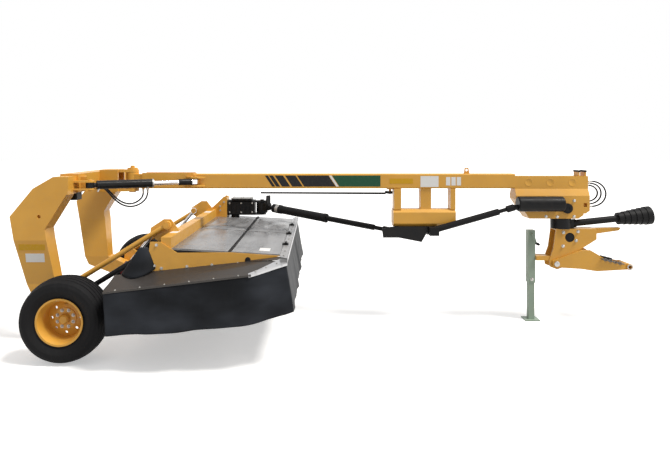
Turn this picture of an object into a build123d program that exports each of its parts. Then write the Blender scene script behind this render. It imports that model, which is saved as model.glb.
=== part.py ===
from build123d import *
import os
from math import atan2, cos, degrees, hypot, radians, sin

# A trailed disc mower: rear frame on two wheels, swinging tongue, header carried on parallel links.
# Millimetres. X runs forward from the wheel axle, Y to the left, Z up from the ground.
# Each piece is shifted by AXLE_X at the end, so that the origin lies mid length on the ground.

# Overall
REAR_REACH = 723.0
FRONT_REACH = 6168.0
AXLE_X = (REAR_REACH - FRONT_REACH) / 2
GAP = 0.3
BASE = (Align.CENTER, Align.CENTER, Align.MIN)

# Wheels
TYRE_R = 393.5
TYRE_W = 344.0
WHEEL_Y = 1242.0
RIM_R = 208.0
RIM_WALL = 7.0
HUB_R = 62.0
SPINDLE_R = 30.0

# Rear frame
LEG_IN = 682.0
LEG_OUT = 882.0
TOE_IN = 630.0
TOE_OUT = 800.0
LEG_BEND_Z = 1054.0
LEG_FOOT_Z = 600.0
LEG_BEND_X = (-683.0, -358.0)
LEG_FOOT_X = (-592.0, -300.0)
BEAM_X = (-310.0, -120.0)
BEAM_Z = (1515.0, 1705.0)
LINK_PLATE_T = 26.0
PIN_R = 20.0

# Tongue
PIVOT_X = 215.0
PIVOT_PIN_R = 38.0
BOSS_R = 72.0
CLEVIS_T = 30.0
CLEVIS_GAP = 3.0
TONGUE_Z = (1508.0, 1675.0)
TONGUE_W = 150.0
TONGUE_WALL = 9.5
TONGUE_REAR = 330.0
DOUBLER_END = 1010.0
HEAD_X = (4587.0, 5419.0)
HEAD_Z = (1170.0, 1649.0)

# Swing cylinder, from its pin on the frame to its eye on the tongue
SWING_BASE = (6.0, -700.0)
SWING_EYE = (957.0, -128.0)
SWING_Z = 1590.0
SWING_BARREL = 646.0
SWING_BARREL_R = 45.0
SWING_ROD_R = 24.0
EYE_SLACK = 9.0

# Header suspension: parallel links and lift cylinders, side view X and Z
UPPER_REAR = (-90.0, 630.0)
UPPER_FRONT = (860.0, 1215.0)
LINK_DROP = (-20.0, -160.0)
LOWER_REAR = (UPPER_REAR[0] + LINK_DROP[0], UPPER_REAR[1] + LINK_DROP[1])
LOWER_FRONT = (UPPER_FRONT[0] + LINK_DROP[0], UPPER_FRONT[1] + LINK_DROP[1])
LINK_Y = 945.0
LINK_R = 26.0
EYE_R = 42.0
EYE_W = 50.0
LIFT_REAR = (150.0, 430.0)
LIFT_FRONT = (730.0, 1150.0)
LIFT_Y = 870.0
LIFT_BARREL = 500.0
LIFT_BARREL_R = 36.0
LIFT_ROD_R = 18.0
BRACKET_Y = (897.0, 917.0)

# Header
HEADER_W = 3200.0
FRONT_W = 2900.0
SIDE_Y = 1300.0
PLATE_T = 12.0
HB_X = (895.0, 990.0)
HB_Z = (1040.0, 1150.0)
DECK_REAR = (990.0, 1046.0)
DECK_FRONT = (2070.0, 984.0)
DECK_T = 10.0
SHELF_REAR = (474.0, 719.0)
SHELF_FRONT = (1760.0, 871.0)
CURTAIN_T = 7.0
PITCH = 4.2
BAR_X = 1560.0
BAR_Z = 420.0
BAR_W = 210.0
BAR_H = 46.0
BAR_EDGE = 1454.0
DISC_COUNT = 7
DISC_STEP = 440.0
DISC_LONG = 190.0
DISC_SHORT = 136.0
DISC_T = 26.0
KNIFE_TIP = 262.0

# Header drive
GEARBOX_Y = 1150.0
GEARBOX_W = 180.0
GEARBOX_X = (1130.0, 1500.0)
GEARBOX_Z = (1065.0, 1262.0)
COLUMN_X = 1230.0
COLUMN_R = 55.0
SWIVEL = (1590.0, 1150.0, 1180.0)
CROSS = 160.0
NOSE_R = 118.0
SWIVEL_R = 75.0
JOINT = (3200.0, 0.0, 1016.0)
TUBE_R = 45.0
SHAFT_R = 34.0
TIP_R = 24.0
TIP_SHORT = 25.0
ROD_LUG = (3174.0, 0.0, 1447.0)
ROD_GUIDE = (1618.0, 1150.0, 1357.0)
ROD_R = 12.0
ROD_PAST = 55.0

# Tongue mid bracket and front driveline
MID_X = (3201.0, 3909.0)
MID_Z = (1079.0, 1272.0)
MID_W = 190.0
LINE_REAR = (3656.0, -150.0, 1050.0)
LINE_FRONT = (4530.0, -200.0, 1308.0)
CANISTER_X = (4570.0, 5082.0)
CANISTER_Z = 1345.0
CANISTER_R = 84.0
HEAD_W = (140.0, 220.0)

# Hitch
HITCH_X = 5136.0
HITCH_BOX_Z = (1050.0, 1165.0)
HITCH_PIN = (5043.0, 660.0)
YOKE_Y = (66.0, 82.0)
BAR_EYE = (5867.0, 625.0)
BAR_EYE_R = 36.0
BAR_BORE_R = 20.0
JACK_X = 4790.0
JACK_SIDE = 80.0
JACK_WALL = 7.0
JACK_TOP = 1028.0
JACK_BOTTOM = 430.0
FOOT_SIDE = 164.0
PTO_REAR = (5262.0, 1102.0)
PTO_TILT = 6.0
PTO_SHAFT_R = 22.0
PTO_BORE_R = 17.5
PTO_YOKE_R = 38
SHIELD_R = 104.0
SHIELD_L = 372.0
HOSE_R = 9.0
STUB = 24.0
# Hose routes, chosen by hand, X Y Z from the axle; each starts and ends just off a stub's face
HEAD_HOSE_ROUTES = (
    ((5443.3, -40, 1590), (5490, -40, 1590), (5558, -42, 1570), (5612, -46, 1522), (5636, -48, 1452),
     (5620, -48, 1382), (5570, -45, 1326), (5496, -40, 1300), (5443.3, -40, 1300)),
    ((5443.3, 0, 1564), (5486, 0, 1564), (5546, 3, 1548), (5592, 6, 1506), (5608, 8, 1446),
     (5592, 8, 1388), (5546, 4, 1346), (5488, 0, 1326), (5443.3, 0, 1326)),
    ((5443.3, 40, 1538), (5482, 40, 1538), (5534, 42, 1524), (5572, 46, 1488), (5584, 47, 1446),
     (5570, 46, 1402), (5532, 43, 1368), (5482, 40, 1352), (5443.3, 40, 1352)),
)
PIVOT_HOSE_ROUTES = (
    ((-95.7, -220, 1543), (-52, -220, 1543), (-4, -214, 1520), (40, -200, 1470), (88, -176, 1408),
     (146, -144, 1358), (212, -108, 1334), (276, -78, 1348), (328, -56, 1390), (352, -46, 1438),
     (352, -46, 1483.7)),
    ((-95.7, -264, 1543), (-52, -264, 1543), (-2, -258, 1516), (42, -240, 1458), (92, -210, 1388),
     (154, -168, 1330), (228, -116, 1304), (302, -66, 1320), (360, -32, 1366), (392, -16, 1424),
     (392, -16, 1483.7)),
)


def plate_xz(points, y0, y1):
    """A flat plate with its outline in X and Z, from y0 to y1."""
    face = Plane.XZ * make_face(Polyline(*points, close=True))
    return Pos(0, y0, 0) * extrude(face, -(y1 - y0))


def plate_xy(points, z0, z1):
    """A flat plate with its outline in X and Y, from z0 to z1."""
    face = make_face(Polyline(*points, close=True))
    return Pos(0, 0, z0) * extrude(face, z1 - z0)


def plate_yz(points, x0, x1):
    """A flat plate with its outline in Y and Z, from x0 to x1."""
    face = Plane.YZ * make_face(Polyline(*points, close=True))
    return Pos(x0, 0, 0) * extrude(face, x1 - x0)


def block(x, y, z):
    """A box between pairs of limits."""
    centre = Pos((x[0] + x[1]) / 2, (y[0] + y[1]) / 2, (z[0] + z[1]) / 2)
    return centre * Box(x[1] - x[0], y[1] - y[0], z[1] - z[0])


def bar(start, end, radius, inner=0.0):
    """A round bar, or a tube with an inner radius, between two points."""
    a = Vector(*start)
    b = Vector(*end)
    length = (b - a).length
    shape = Cylinder(radius, length, align=BASE)
    if inner:
        shape -= Cylinder(inner, length, align=BASE)
    return Plane(origin=a, z_dir=b - a) * shape


def cross_bar(x, z, y0, y1, radius, inner=0.0):
    """A round bar or ring along Y."""
    return bar((x, y0, z), (x, y1, z), radius, inner)


def along(start, end, distance):
    """The point at a distance from start towards end."""
    a = Vector(*start)
    b = Vector(*end)
    point = a + (b - a).normalized() * distance
    return (point.X, point.Y, point.Z)


def other_side(shape):
    """Pieces are drawn on the right side and mirrored for the left."""
    return mirror(shape, about=Plane.XZ)


def save(name, *solids):
    """Write one node: a single solid, or like solids that don't touch."""
    shape = solids[0] if len(solids) == 1 else Compound(children=list(solids))
    export_step(Pos(AXLE_X, 0, 0) * shape, f"parts/{name}.step")


def tyre():
    """A rib implement tyre about the axle."""
    half = TYRE_W / 2
    bead = RIM_R + GAP
    with BuildSketch(Plane.XY) as section:
        with BuildLine():
            Polyline((bead + 14, -half + 36), (bead, -half + 40), (bead, half - 40), (bead + 14, half - 36))
            ThreePointArc((bead + 14, half - 36), (bead + 92, half), (TYRE_R - 34, half - 16))
            ThreePointArc((TYRE_R - 34, half - 16), (TYRE_R, 0), (TYRE_R - 34, -half + 16))
            ThreePointArc((TYRE_R - 34, -half + 16), (bead + 92, -half), (bead + 14, -half + 36))
        make_face()
    return Pos(0, -WHEEL_Y, TYRE_R) * revolve(section.sketch, Axis.Y)


def rim_disc():
    """A dished disc wheel with a stepped barrel and a ring of hand holes."""
    half = TYRE_W / 2 - 32
    lip = RIM_R + 10
    dish = -half * 0.25
    well = RIM_R - 26
    points = [
        (RIM_R, half), (lip, half + 2), (lip, half + 8), (RIM_R - RIM_WALL, half + 8),
        (well - RIM_WALL, half - 62), (well - RIM_WALL, dish + 10), (HUB_R + 40, dish + 34),
        (HUB_R - 4, dish + 34), (HUB_R - 4, dish + 22), (HUB_R + 34, dish + 22),
        (well - RIM_WALL, dish - 4), (well - RIM_WALL, -half + 62), (RIM_R - RIM_WALL, -half - 8),
        (lip, -half - 8), (lip, -half - 2), (RIM_R, -half), (RIM_R, -half + 30), (well, -half + 60),
        (well, half - 60), (RIM_R, half - 30),
    ]
    shape = revolve(make_face(Polyline(*points, close=True)), Axis.Y)
    for place in PolarLocations(HUB_R + 72, 8):
        spot = place.position
        shape -= Pos(spot.X, dish + 12, spot.Y) * Rot(90, 0, 0) * Cylinder(13, 80)
    # The dish faces outward, which is towards -Y on the right wheel
    return Pos(0, -WHEEL_Y, TYRE_R) * mirror(shape, about=Plane.XZ)


def hub_body():
    """A flanged hub with a grease cap, bored for its spindle."""
    dish = -(TYRE_W / 2 - 24) * 0.25
    points = [
        (SPINDLE_R + GAP, dish - 110), (HUB_R, dish - 110), (HUB_R, dish + 34),
        (HUB_R + 36, dish + 34), (HUB_R + 36, dish + 46), (HUB_R - 12, dish + 50),
        (HUB_R - 18, dish + 92), (HUB_R - 30, dish + 104), (0, dish + 104), (0, dish + 60),
        (SPINDLE_R + GAP, dish + 60),
    ]
    shape = revolve(make_face(Polyline(*points, close=True)), Axis.Y)
    return Pos(0, -WHEEL_Y, TYRE_R) * mirror(shape, about=Plane.XZ)


def wheel():
    """Rim and hub as one welded piece."""
    return rim_disc() + hub_body()


def spindle():
    """The stub axle that carries a hub from the toe of the leg."""
    dish = -(TYRE_W / 2 - 24) * 0.25
    end = WHEEL_Y + dish + 58
    face = TOE_OUT + LINK_PLATE_T
    shape = cross_bar(0, TYRE_R, -face, -end, SPINDLE_R)
    shape += cross_bar(0, TYRE_R, -face, -(WHEEL_Y + dish - 116), 46)
    shape += cross_bar(0, TYRE_R, -face, -face - 20, 74)
    return shape


def leg():
    """A bent box leg: wide upper part, lower part that leans inward, toe forward to the axle."""
    upper = plate_xz([
        (-141, 1685), (-292, 1685), (-492, 1569), (-REAR_REACH, 1290), (LEG_BEND_X[0], LEG_BEND_Z),
        (LEG_BEND_X[1], LEG_BEND_Z), (-373, 1162), (-159, 1508), (-141, 1508),
    ], -LEG_OUT, -LEG_IN)
    middle = (LEG_BEND_X[0] + LEG_BEND_X[1]) / 2
    foot = (LEG_FOOT_X[0] + LEG_FOOT_X[1]) / 2
    top = Pos(middle, -(LEG_IN + LEG_OUT) / 2, LEG_BEND_Z) * Rectangle(
        LEG_BEND_X[1] - LEG_BEND_X[0], LEG_OUT - LEG_IN)
    bottom = Pos(foot, -(TOE_IN + TOE_OUT) / 2, LEG_FOOT_Z) * Rectangle(
        LEG_FOOT_X[1] - LEG_FOOT_X[0], TOE_OUT - TOE_IN)
    lower = loft([top, bottom], ruled=True)
    toe = plate_xz([
        (LEG_FOOT_X[0], LEG_FOOT_Z), (-545, 500), (-70, 318), (70, 318), (90, 345), (90, 440),
        (-20, 478), (LEG_FOOT_X[1], LEG_FOOT_Z),
    ], -TOE_OUT, -TOE_IN)
    shape = upper + lower + toe
    # Lightening hole through the outer plate
    shape -= cross_bar(-430, 1290, -LEG_OUT - 1, -LEG_OUT + 30, 18)
    return shape


def cross_beam():
    """The box beam that joins the tops of the legs, with a gusset at each end."""
    shape = block(BEAM_X, (-LEG_IN, LEG_IN), BEAM_Z)
    ends = (-LEG_IN + 40, LEG_IN - 40)
    shape -= block((BEAM_X[0] - 1, BEAM_X[0] + 170), ends, (BEAM_Z[0] + 12, BEAM_Z[1] - 12))
    for side in (-1, 1):
        low = side * (LEG_IN - 190)
        high = side * (LEG_IN - 50)
        corner = [(BEAM_X[1], low), (BEAM_X[1], high), (BEAM_X[1] + 68, high)]
        shape += plate_xy(corner, BEAM_Z[0] + 20, BEAM_Z[1] - 30)
    for route in PIVOT_HOSE_ROUTES:
        x, y, z = route[0]
        shape += bar((BEAM_X[1], y, z), (BEAM_X[1] + STUB, y, z), HOSE_R + 4)
    return shape


def pivot_nose():
    """The nose of the cross beam, with the two clevis plates that hold the tongue's pin."""
    low = TONGUE_Z[0] - CLEVIS_GAP
    high = TONGUE_Z[1] + 15 + CLEVIS_GAP
    shape = block((BEAM_X[1], 85), (-120, 120), (low - CLEVIS_T, high + CLEVIS_T))
    for z in (low - CLEVIS_T, high):
        outline = [(BEAM_X[1], -120), (PIVOT_X, -BOSS_R), (PIVOT_X, BOSS_R), (BEAM_X[1], 120)]
        plate = plate_xy(outline, z, z + CLEVIS_T)
        plate += bar((PIVOT_X, 0, z), (PIVOT_X, 0, z + CLEVIS_T), BOSS_R)
        shape += plate
    shape -= block((85 - 60, 86), (-90, 90), (low, high))
    return shape + pivot_pin()


def pivot_pin():
    """The tongue's pivot pin, with a capped head."""
    low = TONGUE_Z[0] - CLEVIS_GAP - CLEVIS_T - 12
    high = TONGUE_Z[1] + 15 + CLEVIS_GAP + CLEVIS_T
    shape = bar((PIVOT_X, 0, low), (PIVOT_X, 0, high), PIVOT_PIN_R)
    shape += bar((PIVOT_X, 0, high), (PIVOT_X, 0, high + 20), BOSS_R - 14)
    shape += bar((PIVOT_X, 0, high + 20), (PIVOT_X, 0, high + 44), 24)
    return shape


def swing_anchor():
    """The lugs and pin on the right leg that hold the base of the swing cylinder."""
    x, y = SWING_BASE
    shape = bar((x, y, SWING_Z - 60), (x, y, SWING_Z + 60), PIN_R)
    for z in (SWING_Z - 48, SWING_Z + 30):
        outline = [
            (-141, y - 60), (x, y - EYE_R), (x, y + EYE_R), (-100, -LEG_IN - 2), (-141, -LEG_IN - 2),
        ]
        lug = plate_xy(outline, z, z + 18)
        shape += lug + bar((x, y, z), (x, y, z + 18), EYE_R)
    return shape


def link_plate():
    """The plate on a toe with the pins of both links and of the lift cylinder."""
    lower = LOWER_REAR
    outer = TOE_OUT + LINK_PLATE_T
    shape = plate_xz([
        (lower[0] - 60, lower[1] - 80), (UPPER_REAR[0] - 55, UPPER_REAR[1] + 20),
        (UPPER_REAR[0] - 25, UPPER_REAR[1] + 52), (UPPER_REAR[0] + 30, UPPER_REAR[1] + 50),
        (LIFT_REAR[0] + 48, LIFT_REAR[1] + 40), (LIFT_REAR[0] + 48, LIFT_REAR[1] - 40),
        (LIFT_REAR[0] + 10, LIFT_REAR[1] - 70), (lower[0] + 10, lower[1] - 110),
    ], -outer, -TOE_OUT)
    for x, z in (UPPER_REAR, lower):
        shape += cross_bar(x, z, -outer, -(LINK_Y - EYE_W / 2 - 2), EYE_R - 8)
        shape += cross_bar(x, z, -outer, -(LINK_Y + EYE_W / 2 + 8), PIN_R)
        shape += cross_bar(x, z, -(LINK_Y + EYE_W / 2 + 2), -(LINK_Y + EYE_W / 2 + 12), PIN_R + 10)
    x, z = LIFT_REAR
    shape += cross_bar(x, z, -outer, -(LIFT_Y + EYE_W / 2 + 8), PIN_R)
    shape += cross_bar(x, z, -(LIFT_Y + EYE_W / 2 + 2), -(LIFT_Y + EYE_W / 2 + 12), PIN_R + 10)
    return shape


def toe_plate():
    """Link plate and stub axle, welded."""
    return link_plate() + spindle()


def control_box():
    """The small closed box under the right end of the cross beam."""
    shape = block((-280, -190), (-560, -420), (BEAM_Z[0] - 92, BEAM_Z[0]))
    return chamfer(shape.edges().filter_by(Axis.Z), 12)


def tongue_beam():
    """The rectangular tongue tube with its rear boss, doubler, rod lugs and hose eye."""
    z0, z1 = TONGUE_Z
    middle = (z0 + z1) / 2
    front = HEAD_X[0]
    outer = Rectangle(TONGUE_W, z1 - z0)
    outer = fillet(outer.vertices(), 14)
    inner = Rectangle(TONGUE_W - 2 * TONGUE_WALL, z1 - z0 - 2 * TONGUE_WALL)
    section = Pos(TONGUE_REAR, 0, middle) * (Plane.YZ * (outer - inner))
    shape = extrude(section, front - TONGUE_REAR)
    # Rear end: a solid throat from the tube to the boss
    inset = 5.0
    wide = TONGUE_W / 2 - inset
    throat = plate_xy([
        (PIVOT_X, -BOSS_R + 10), (TONGUE_REAR + 40, -wide), (TONGUE_REAR + 40, wide), (PIVOT_X, BOSS_R - 10),
    ], z0 + inset, z1 - inset)
    shape += throat + bar((PIVOT_X, 0, z0), (PIVOT_X, 0, z1 + 15), BOSS_R)
    shape -= bar((PIVOT_X, 0, z0 - 1), (PIVOT_X, 0, z1 + 20), PIVOT_PIN_R + GAP)
    # Doubler plates on both sides
    half = TONGUE_W / 2
    for low, high in ((-half - 10, -half), (half, half + 10)):
        shape += plate_xz([
            (TONGUE_REAR + 20, z0 + 12), (TONGUE_REAR + 20, z1 + 12), (DOUBLER_END - 90, z1 + 12),
            (DOUBLER_END, (z0 + z1) / 2 + 20), (DOUBLER_END - 60, z0 + 12),
        ], low, high)
    # Lugs and pin for the swing cylinder's eye
    x, y = SWING_EYE
    edge = -half - 10
    for z in (SWING_Z - 56, SWING_Z + 38):
        shape += plate_xy([(x - 110, edge), (x - 36, y - 34), (x + 36, y - 34), (x + 110, edge)], z, z + 18)
    shape += bar((x, y, SWING_Z - 66), (x, y, SWING_Z + 66), PIN_R - 4)
    # Lug for the steering rod under the tube, and the hose eye on top
    lug_x, lug_y, lug_z = ROD_LUG
    shape += bar((lug_x, lug_y, lug_z - 8), (lug_x, lug_y, z0), 14)
    shape += block((lug_x - 35, lug_x + 35), (-30, 30), (z0 - 12, z0))
    eye = plate_xz([(4022, z1), (4034, z1 + 66), (4074, z1 + 66), (4086, z1)], -8, 8)
    shape += eye - cross_bar(4054, z1 + 40, -20, 20, 14)
    for route in PIVOT_HOSE_ROUTES:
        x, y, z = route[-1]
        shape += bar((x, y, TONGUE_Z[0] - STUB), (x, y, TONGUE_Z[0]), HOSE_R + 4)
    return shape


def mid_bracket():
    """The box hung under the tongue on three posts, chamfered along its length."""
    x0, x1 = MID_X
    z0, z1 = MID_Z
    half = MID_W / 2
    cut = 34
    shape = plate_yz([
        (-half + cut, z0), (half - cut, z0), (half, z0 + cut), (half, z1 - cut), (half - cut, z1),
        (-half + cut, z1), (-half, z1 - cut), (-half, z0 + cut),
    ], x0, x1)
    # Columns: post start, post end, half width
    for start, end, width in ((3211, 3292, 78), (3514, 3636, 60), (3854, 3909, 78)):
        shape += block((start, end), (-width, width), (z1 - 2, TONGUE_Z[0]))
    return shape


def joint_guard():
    """A black shield over the rear driveline's front joint, open to the left, the rear and below."""
    x, y, z = JOINT
    near = y - 105
    front = LINE_REAR[0] - 60 - 8
    side = plate_xz([
        (x - 130, z + 40), (x - 20, z + 63), (front, z + 63), (front, z + 10), (front - 70, z - 112),
        (x + 60, z - 62), (x - 118, z - 62),
    ], near, near + 6)
    top = block((x + 5, front), (near, y + 70), (z + 57, z + 63))
    face = block((front - 6, front), (near, y + 70), (z - 30, z + 63))
    return side + top + face


def tongue_head():
    """The tongue's front housing: narrow above, wider below, open underneath round the swivel."""
    narrow, wide = HEAD_W[0] / 2, HEAD_W[1] / 2
    shape = plate_yz([
        (-narrow, HEAD_Z[1]), (-narrow, 1505), (-wide, 1428), (-wide, HEAD_Z[0]), (wide, HEAD_Z[0]),
        (wide, 1428), (narrow, 1505), (narrow, HEAD_Z[1]),
    ], *HEAD_X)
    # The rear of the skirt runs up to the tube, the front corner is cut back
    low = HEAD_Z[0] - 1
    rear, front = HEAD_X[0] - 1, HEAD_X[1] + 1
    shape -= plate_xz([(rear, low), (rear + 151, low), (rear, 1390)], -200, 200)
    shape -= plate_xz([(front, low), (front - 131, low), (front, 1260)], -200, 200)
    # Two square windows near the front
    for z in (1325, 1205):
        shape -= block((HEAD_X[1] - 70, HEAD_X[1] - 30), (-wide - 1, -wide + 40), (z - 22, z + 22))
    # The bearing foot for the swivel below
    shape += bar((HITCH_X, 0, HEAD_Z[0] - 40), (HITCH_X, 0, HEAD_Z[0]), 60)
    # Cap on the right face
    shape += cross_bar(5160, 1288, -wide, -wide - 26, 56)
    # Hose ears on top
    for x in (5320, 5395):
        shape += block((x - 8, x + 8), (-60, 60), (HEAD_Z[1], HEAD_Z[1] + 62))
    return shape + hose_stubs()


def hose_stubs():
    """The stubs on the head's front face that each hose leaves and comes back to."""
    shape = None
    for route in HEAD_HOSE_ROUTES:
        for x, y, z in (route[0], route[-1]):
            stub = bar((HEAD_X[1], y, z), (HEAD_X[1] + STUB, y, z), HOSE_R + 4)
            shape = stub if shape is None else shape + stub
    return shape


def canister():
    """The closed round guard of the head's input, on a foot against the head's right side."""
    wide = HEAD_W[1] / 2
    y = -wide - CANISTER_R - 6
    shape = bar((CANISTER_X[0], y, CANISTER_Z), (CANISTER_X[1], y, CANISTER_Z), CANISTER_R)
    shape = fillet(shape.edges().filter_by(GeomType.CIRCLE), 16)
    shape += block((CANISTER_X[0] + 90, CANISTER_X[1] - 90), (y, -wide), (CANISTER_Z - 30, CANISTER_Z + 30))
    return shape


def front_driveline():
    """The guarded shaft from the mid bracket up to the canister."""
    joint = along(LINE_REAR, LINE_FRONT, 740)
    shape = bar(LINE_REAR, joint, 36)
    shape += bar(joint, LINE_FRONT, 22)
    shape += bar(along(LINE_REAR, LINE_FRONT, 830), LINE_FRONT, 38)
    shape += bar(LINE_FRONT, (CANISTER_X[0] - GAP, LINE_FRONT[1], LINE_FRONT[2]), 30)
    # Bearing box under the mid bracket
    x, y, z = LINE_REAR
    shape += block((x - 60, x + 44), (y - 46, -20), (z - 62, MID_Z[0]))
    return shape


def swing_barrel():
    """The barrel of the swing cylinder with its base eye and gland."""
    base = (SWING_BASE[0], SWING_BASE[1], SWING_Z)
    eye = (SWING_EYE[0], SWING_EYE[1], SWING_Z)
    tail = along(base, eye, 30)
    end = along(base, eye, SWING_BARREL)
    shape = bar(tail, end, 24) + bar(along(base, eye, 64), end, SWING_BARREL_R)
    shape += bar((base[0], base[1], SWING_Z - 27), (base[0], base[1], SWING_Z + 27), EYE_R)
    shape -= bar(along(base, eye, 90), along(base, eye, SWING_BARREL + 1), SWING_ROD_R + GAP)
    shape -= bar((base[0], base[1], SWING_Z - 60), (base[0], base[1], SWING_Z + 60), PIN_R + GAP)
    return shape


def swing_rod():
    """The rod of the swing cylinder; its eye is the linkage's open pivot."""
    base = (SWING_BASE[0], SWING_BASE[1], SWING_Z)
    eye = (SWING_EYE[0], SWING_EYE[1], SWING_Z)
    reach = hypot(SWING_EYE[0] - SWING_BASE[0], SWING_EYE[1] - SWING_BASE[1])
    ring = PIN_R - 4 + EYE_SLACK
    shape = bar(along(base, eye, 120), along(base, eye, reach - ring - 6), SWING_ROD_R)
    shape += bar(along(base, eye, reach - 190), along(base, eye, reach - ring - 4), SWING_ROD_R + 8)
    shape += bar((eye[0], eye[1], SWING_Z - 24), (eye[0], eye[1], SWING_Z + 24), ring + 16)
    shape -= bar((eye[0], eye[1], SWING_Z - 40), (eye[0], eye[1], SWING_Z + 40), ring)
    return shape


def link(rear, front, slack):
    """A tube link with an eye at each end, side view X and Z."""
    a = (rear[0], -LINK_Y, rear[1])
    b = (front[0], -LINK_Y, front[1])
    length = hypot(front[0] - rear[0], front[1] - rear[1])
    shape = bar(along(a, b, EYE_R - 6), along(a, b, length - EYE_R + 6), LINK_R)
    shape += bar(along(a, b, EYE_R - 6), along(a, b, EYE_R + 70), LINK_R + 6)
    for x, z in (rear, front):
        shape += cross_bar(x, z, -LINK_Y - EYE_W / 2, -LINK_Y + EYE_W / 2, EYE_R)
    shape -= cross_bar(rear[0], rear[1], -LINK_Y - EYE_W, -LINK_Y + EYE_W, PIN_R + GAP)
    shape -= cross_bar(front[0], front[1], -LINK_Y - EYE_W, -LINK_Y + EYE_W, PIN_R + slack)
    return shape


def lift_barrel():
    """The barrel of a lift cylinder with its base eye and gland."""
    a = (LIFT_REAR[0], -LIFT_Y, LIFT_REAR[1])
    b = (LIFT_FRONT[0], -LIFT_Y, LIFT_FRONT[1])
    shape = bar(along(a, b, 30), along(a, b, LIFT_BARREL), LIFT_BARREL_R)
    shape += bar(along(a, b, LIFT_BARREL - 60), along(a, b, LIFT_BARREL), LIFT_BARREL_R + 6)
    shape += cross_bar(LIFT_REAR[0], LIFT_REAR[1], -LIFT_Y - EYE_W / 2, -LIFT_Y + EYE_W / 2, EYE_R - 4)
    shape -= bar(along(a, b, 80), along(a, b, LIFT_BARREL + 1), LIFT_ROD_R + GAP)
    shape -= cross_bar(LIFT_REAR[0], LIFT_REAR[1], -LIFT_Y - EYE_W, -LIFT_Y + EYE_W, PIN_R + GAP)
    return shape


def lift_rod():
    """The rod of a lift cylinder; its eye is the linkage's open pivot."""
    a = (LIFT_REAR[0], -LIFT_Y, LIFT_REAR[1])
    b = (LIFT_FRONT[0], -LIFT_Y, LIFT_FRONT[1])
    length = hypot(LIFT_FRONT[0] - LIFT_REAR[0], LIFT_FRONT[1] - LIFT_REAR[1])
    ring = PIN_R - 4 + EYE_SLACK
    shape = bar(along(a, b, 210), along(a, b, length - ring - 5), LIFT_ROD_R)
    shape += cross_bar(LIFT_FRONT[0], LIFT_FRONT[1], -LIFT_Y - EYE_W / 2, -LIFT_Y + EYE_W / 2, ring + 14)
    shape -= cross_bar(LIFT_FRONT[0], LIFT_FRONT[1], -LIFT_Y - EYE_W, -LIFT_Y + EYE_W, ring)
    return shape


def header_beam():
    """The box beam across the header, hollow, with closed ends."""
    inside = SIDE_Y - PLATE_T
    shape = block(HB_X, (-inside, inside), HB_Z)
    shape -= block((HB_X[0] + 9, HB_X[1] - 9), (-inside + 9, inside - 9), (HB_Z[0] + 9, HB_Z[1] - 9))
    bracket = link_bracket()
    return shape + bracket + other_side(bracket) + riser()


def link_bracket():
    """The bracket on the header beam with the pins of both links and of the lift rod."""
    lower = LOWER_FRONT
    inner, outer = BRACKET_Y
    shape = plate_xz([
        (LIFT_FRONT[0] - 44, LIFT_FRONT[1] - 30), (LIFT_FRONT[0] - 36, LIFT_FRONT[1] + 36),
        (UPPER_FRONT[0] - 40, UPPER_FRONT[1] + 54), (UPPER_FRONT[0] + 30, UPPER_FRONT[1] + 54),
        (HB_X[1] - 20, HB_Z[1] + 14), (HB_X[1] - 20, HB_Z[1]), (HB_X[0], HB_Z[1]), (HB_X[0], HB_Z[0]),
        (lower[0] + 10, lower[1] - 46), (lower[0] - 44, lower[1] - 30),
    ], -outer, -inner)
    for x, z in (UPPER_FRONT, lower):
        shape += cross_bar(x, z, -outer, -(LINK_Y + EYE_W / 2 + 8), PIN_R)
        shape += cross_bar(x, z, -(LINK_Y + EYE_W / 2 + 2), -(LINK_Y + EYE_W / 2 + 12), PIN_R + 10)
    x, z = LIFT_FRONT
    shape += cross_bar(x, z, -inner, -(LIFT_Y - EYE_W / 2 - 8), PIN_R - 4)
    shape += cross_bar(x, z, -(LIFT_Y - EYE_W / 2 - 2), -(LIFT_Y - EYE_W / 2 - 12), PIN_R + 12)
    return shape


def side_plate():
    """The header's side plate: raised at the rear, long taper to the front tip, two ribs at its foot."""
    shape = plate_xz([
        (786, 1000), (800, 1110), (894, 1110), (1048, 1009), (1536, 1013), (1996, 981), (1674, 894),
        (900, 848), (640, 800), (640, 850),
    ], -SIDE_Y, -SIDE_Y + PLATE_T)
    shape -= cross_bar(1700, 945, -SIDE_Y - 1, -SIDE_Y + PLATE_T + 1, 20)
    return shape


def front_deck():
    """The sheet over the front of the header, between the beam and the front edge."""
    half = FRONT_W / 2
    inside = SIDE_Y - PLATE_T
    slope = (DECK_FRONT[1] - DECK_REAR[1]) / (DECK_FRONT[0] - DECK_REAR[0])
    profile = plate_xz([
        DECK_REAR, DECK_FRONT, (DECK_FRONT[0], DECK_FRONT[1] - DECK_T), (DECK_REAR[0], DECK_REAR[1] - DECK_T),
    ], -half, half)
    edge = 2002.0
    outline = plate_xy([
        (DECK_REAR[0], -inside), (edge, -inside), (edge, -half + 60), (DECK_FRONT[0], -half),
        (DECK_FRONT[0], half), (edge, half - 60), (edge, inside), (DECK_REAR[0], inside),
    ], 800, 1200)
    x, z = DECK_FRONT
    lip = block((x - 60, x), (-half, half), (z - 46, z + slope * 60))
    shape = (profile & outline) + lip
    return shape - bar((COLUMN_X, GEARBOX_Y, 800), (COLUMN_X, GEARBOX_Y, 1200), COLUMN_R + 2)


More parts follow.
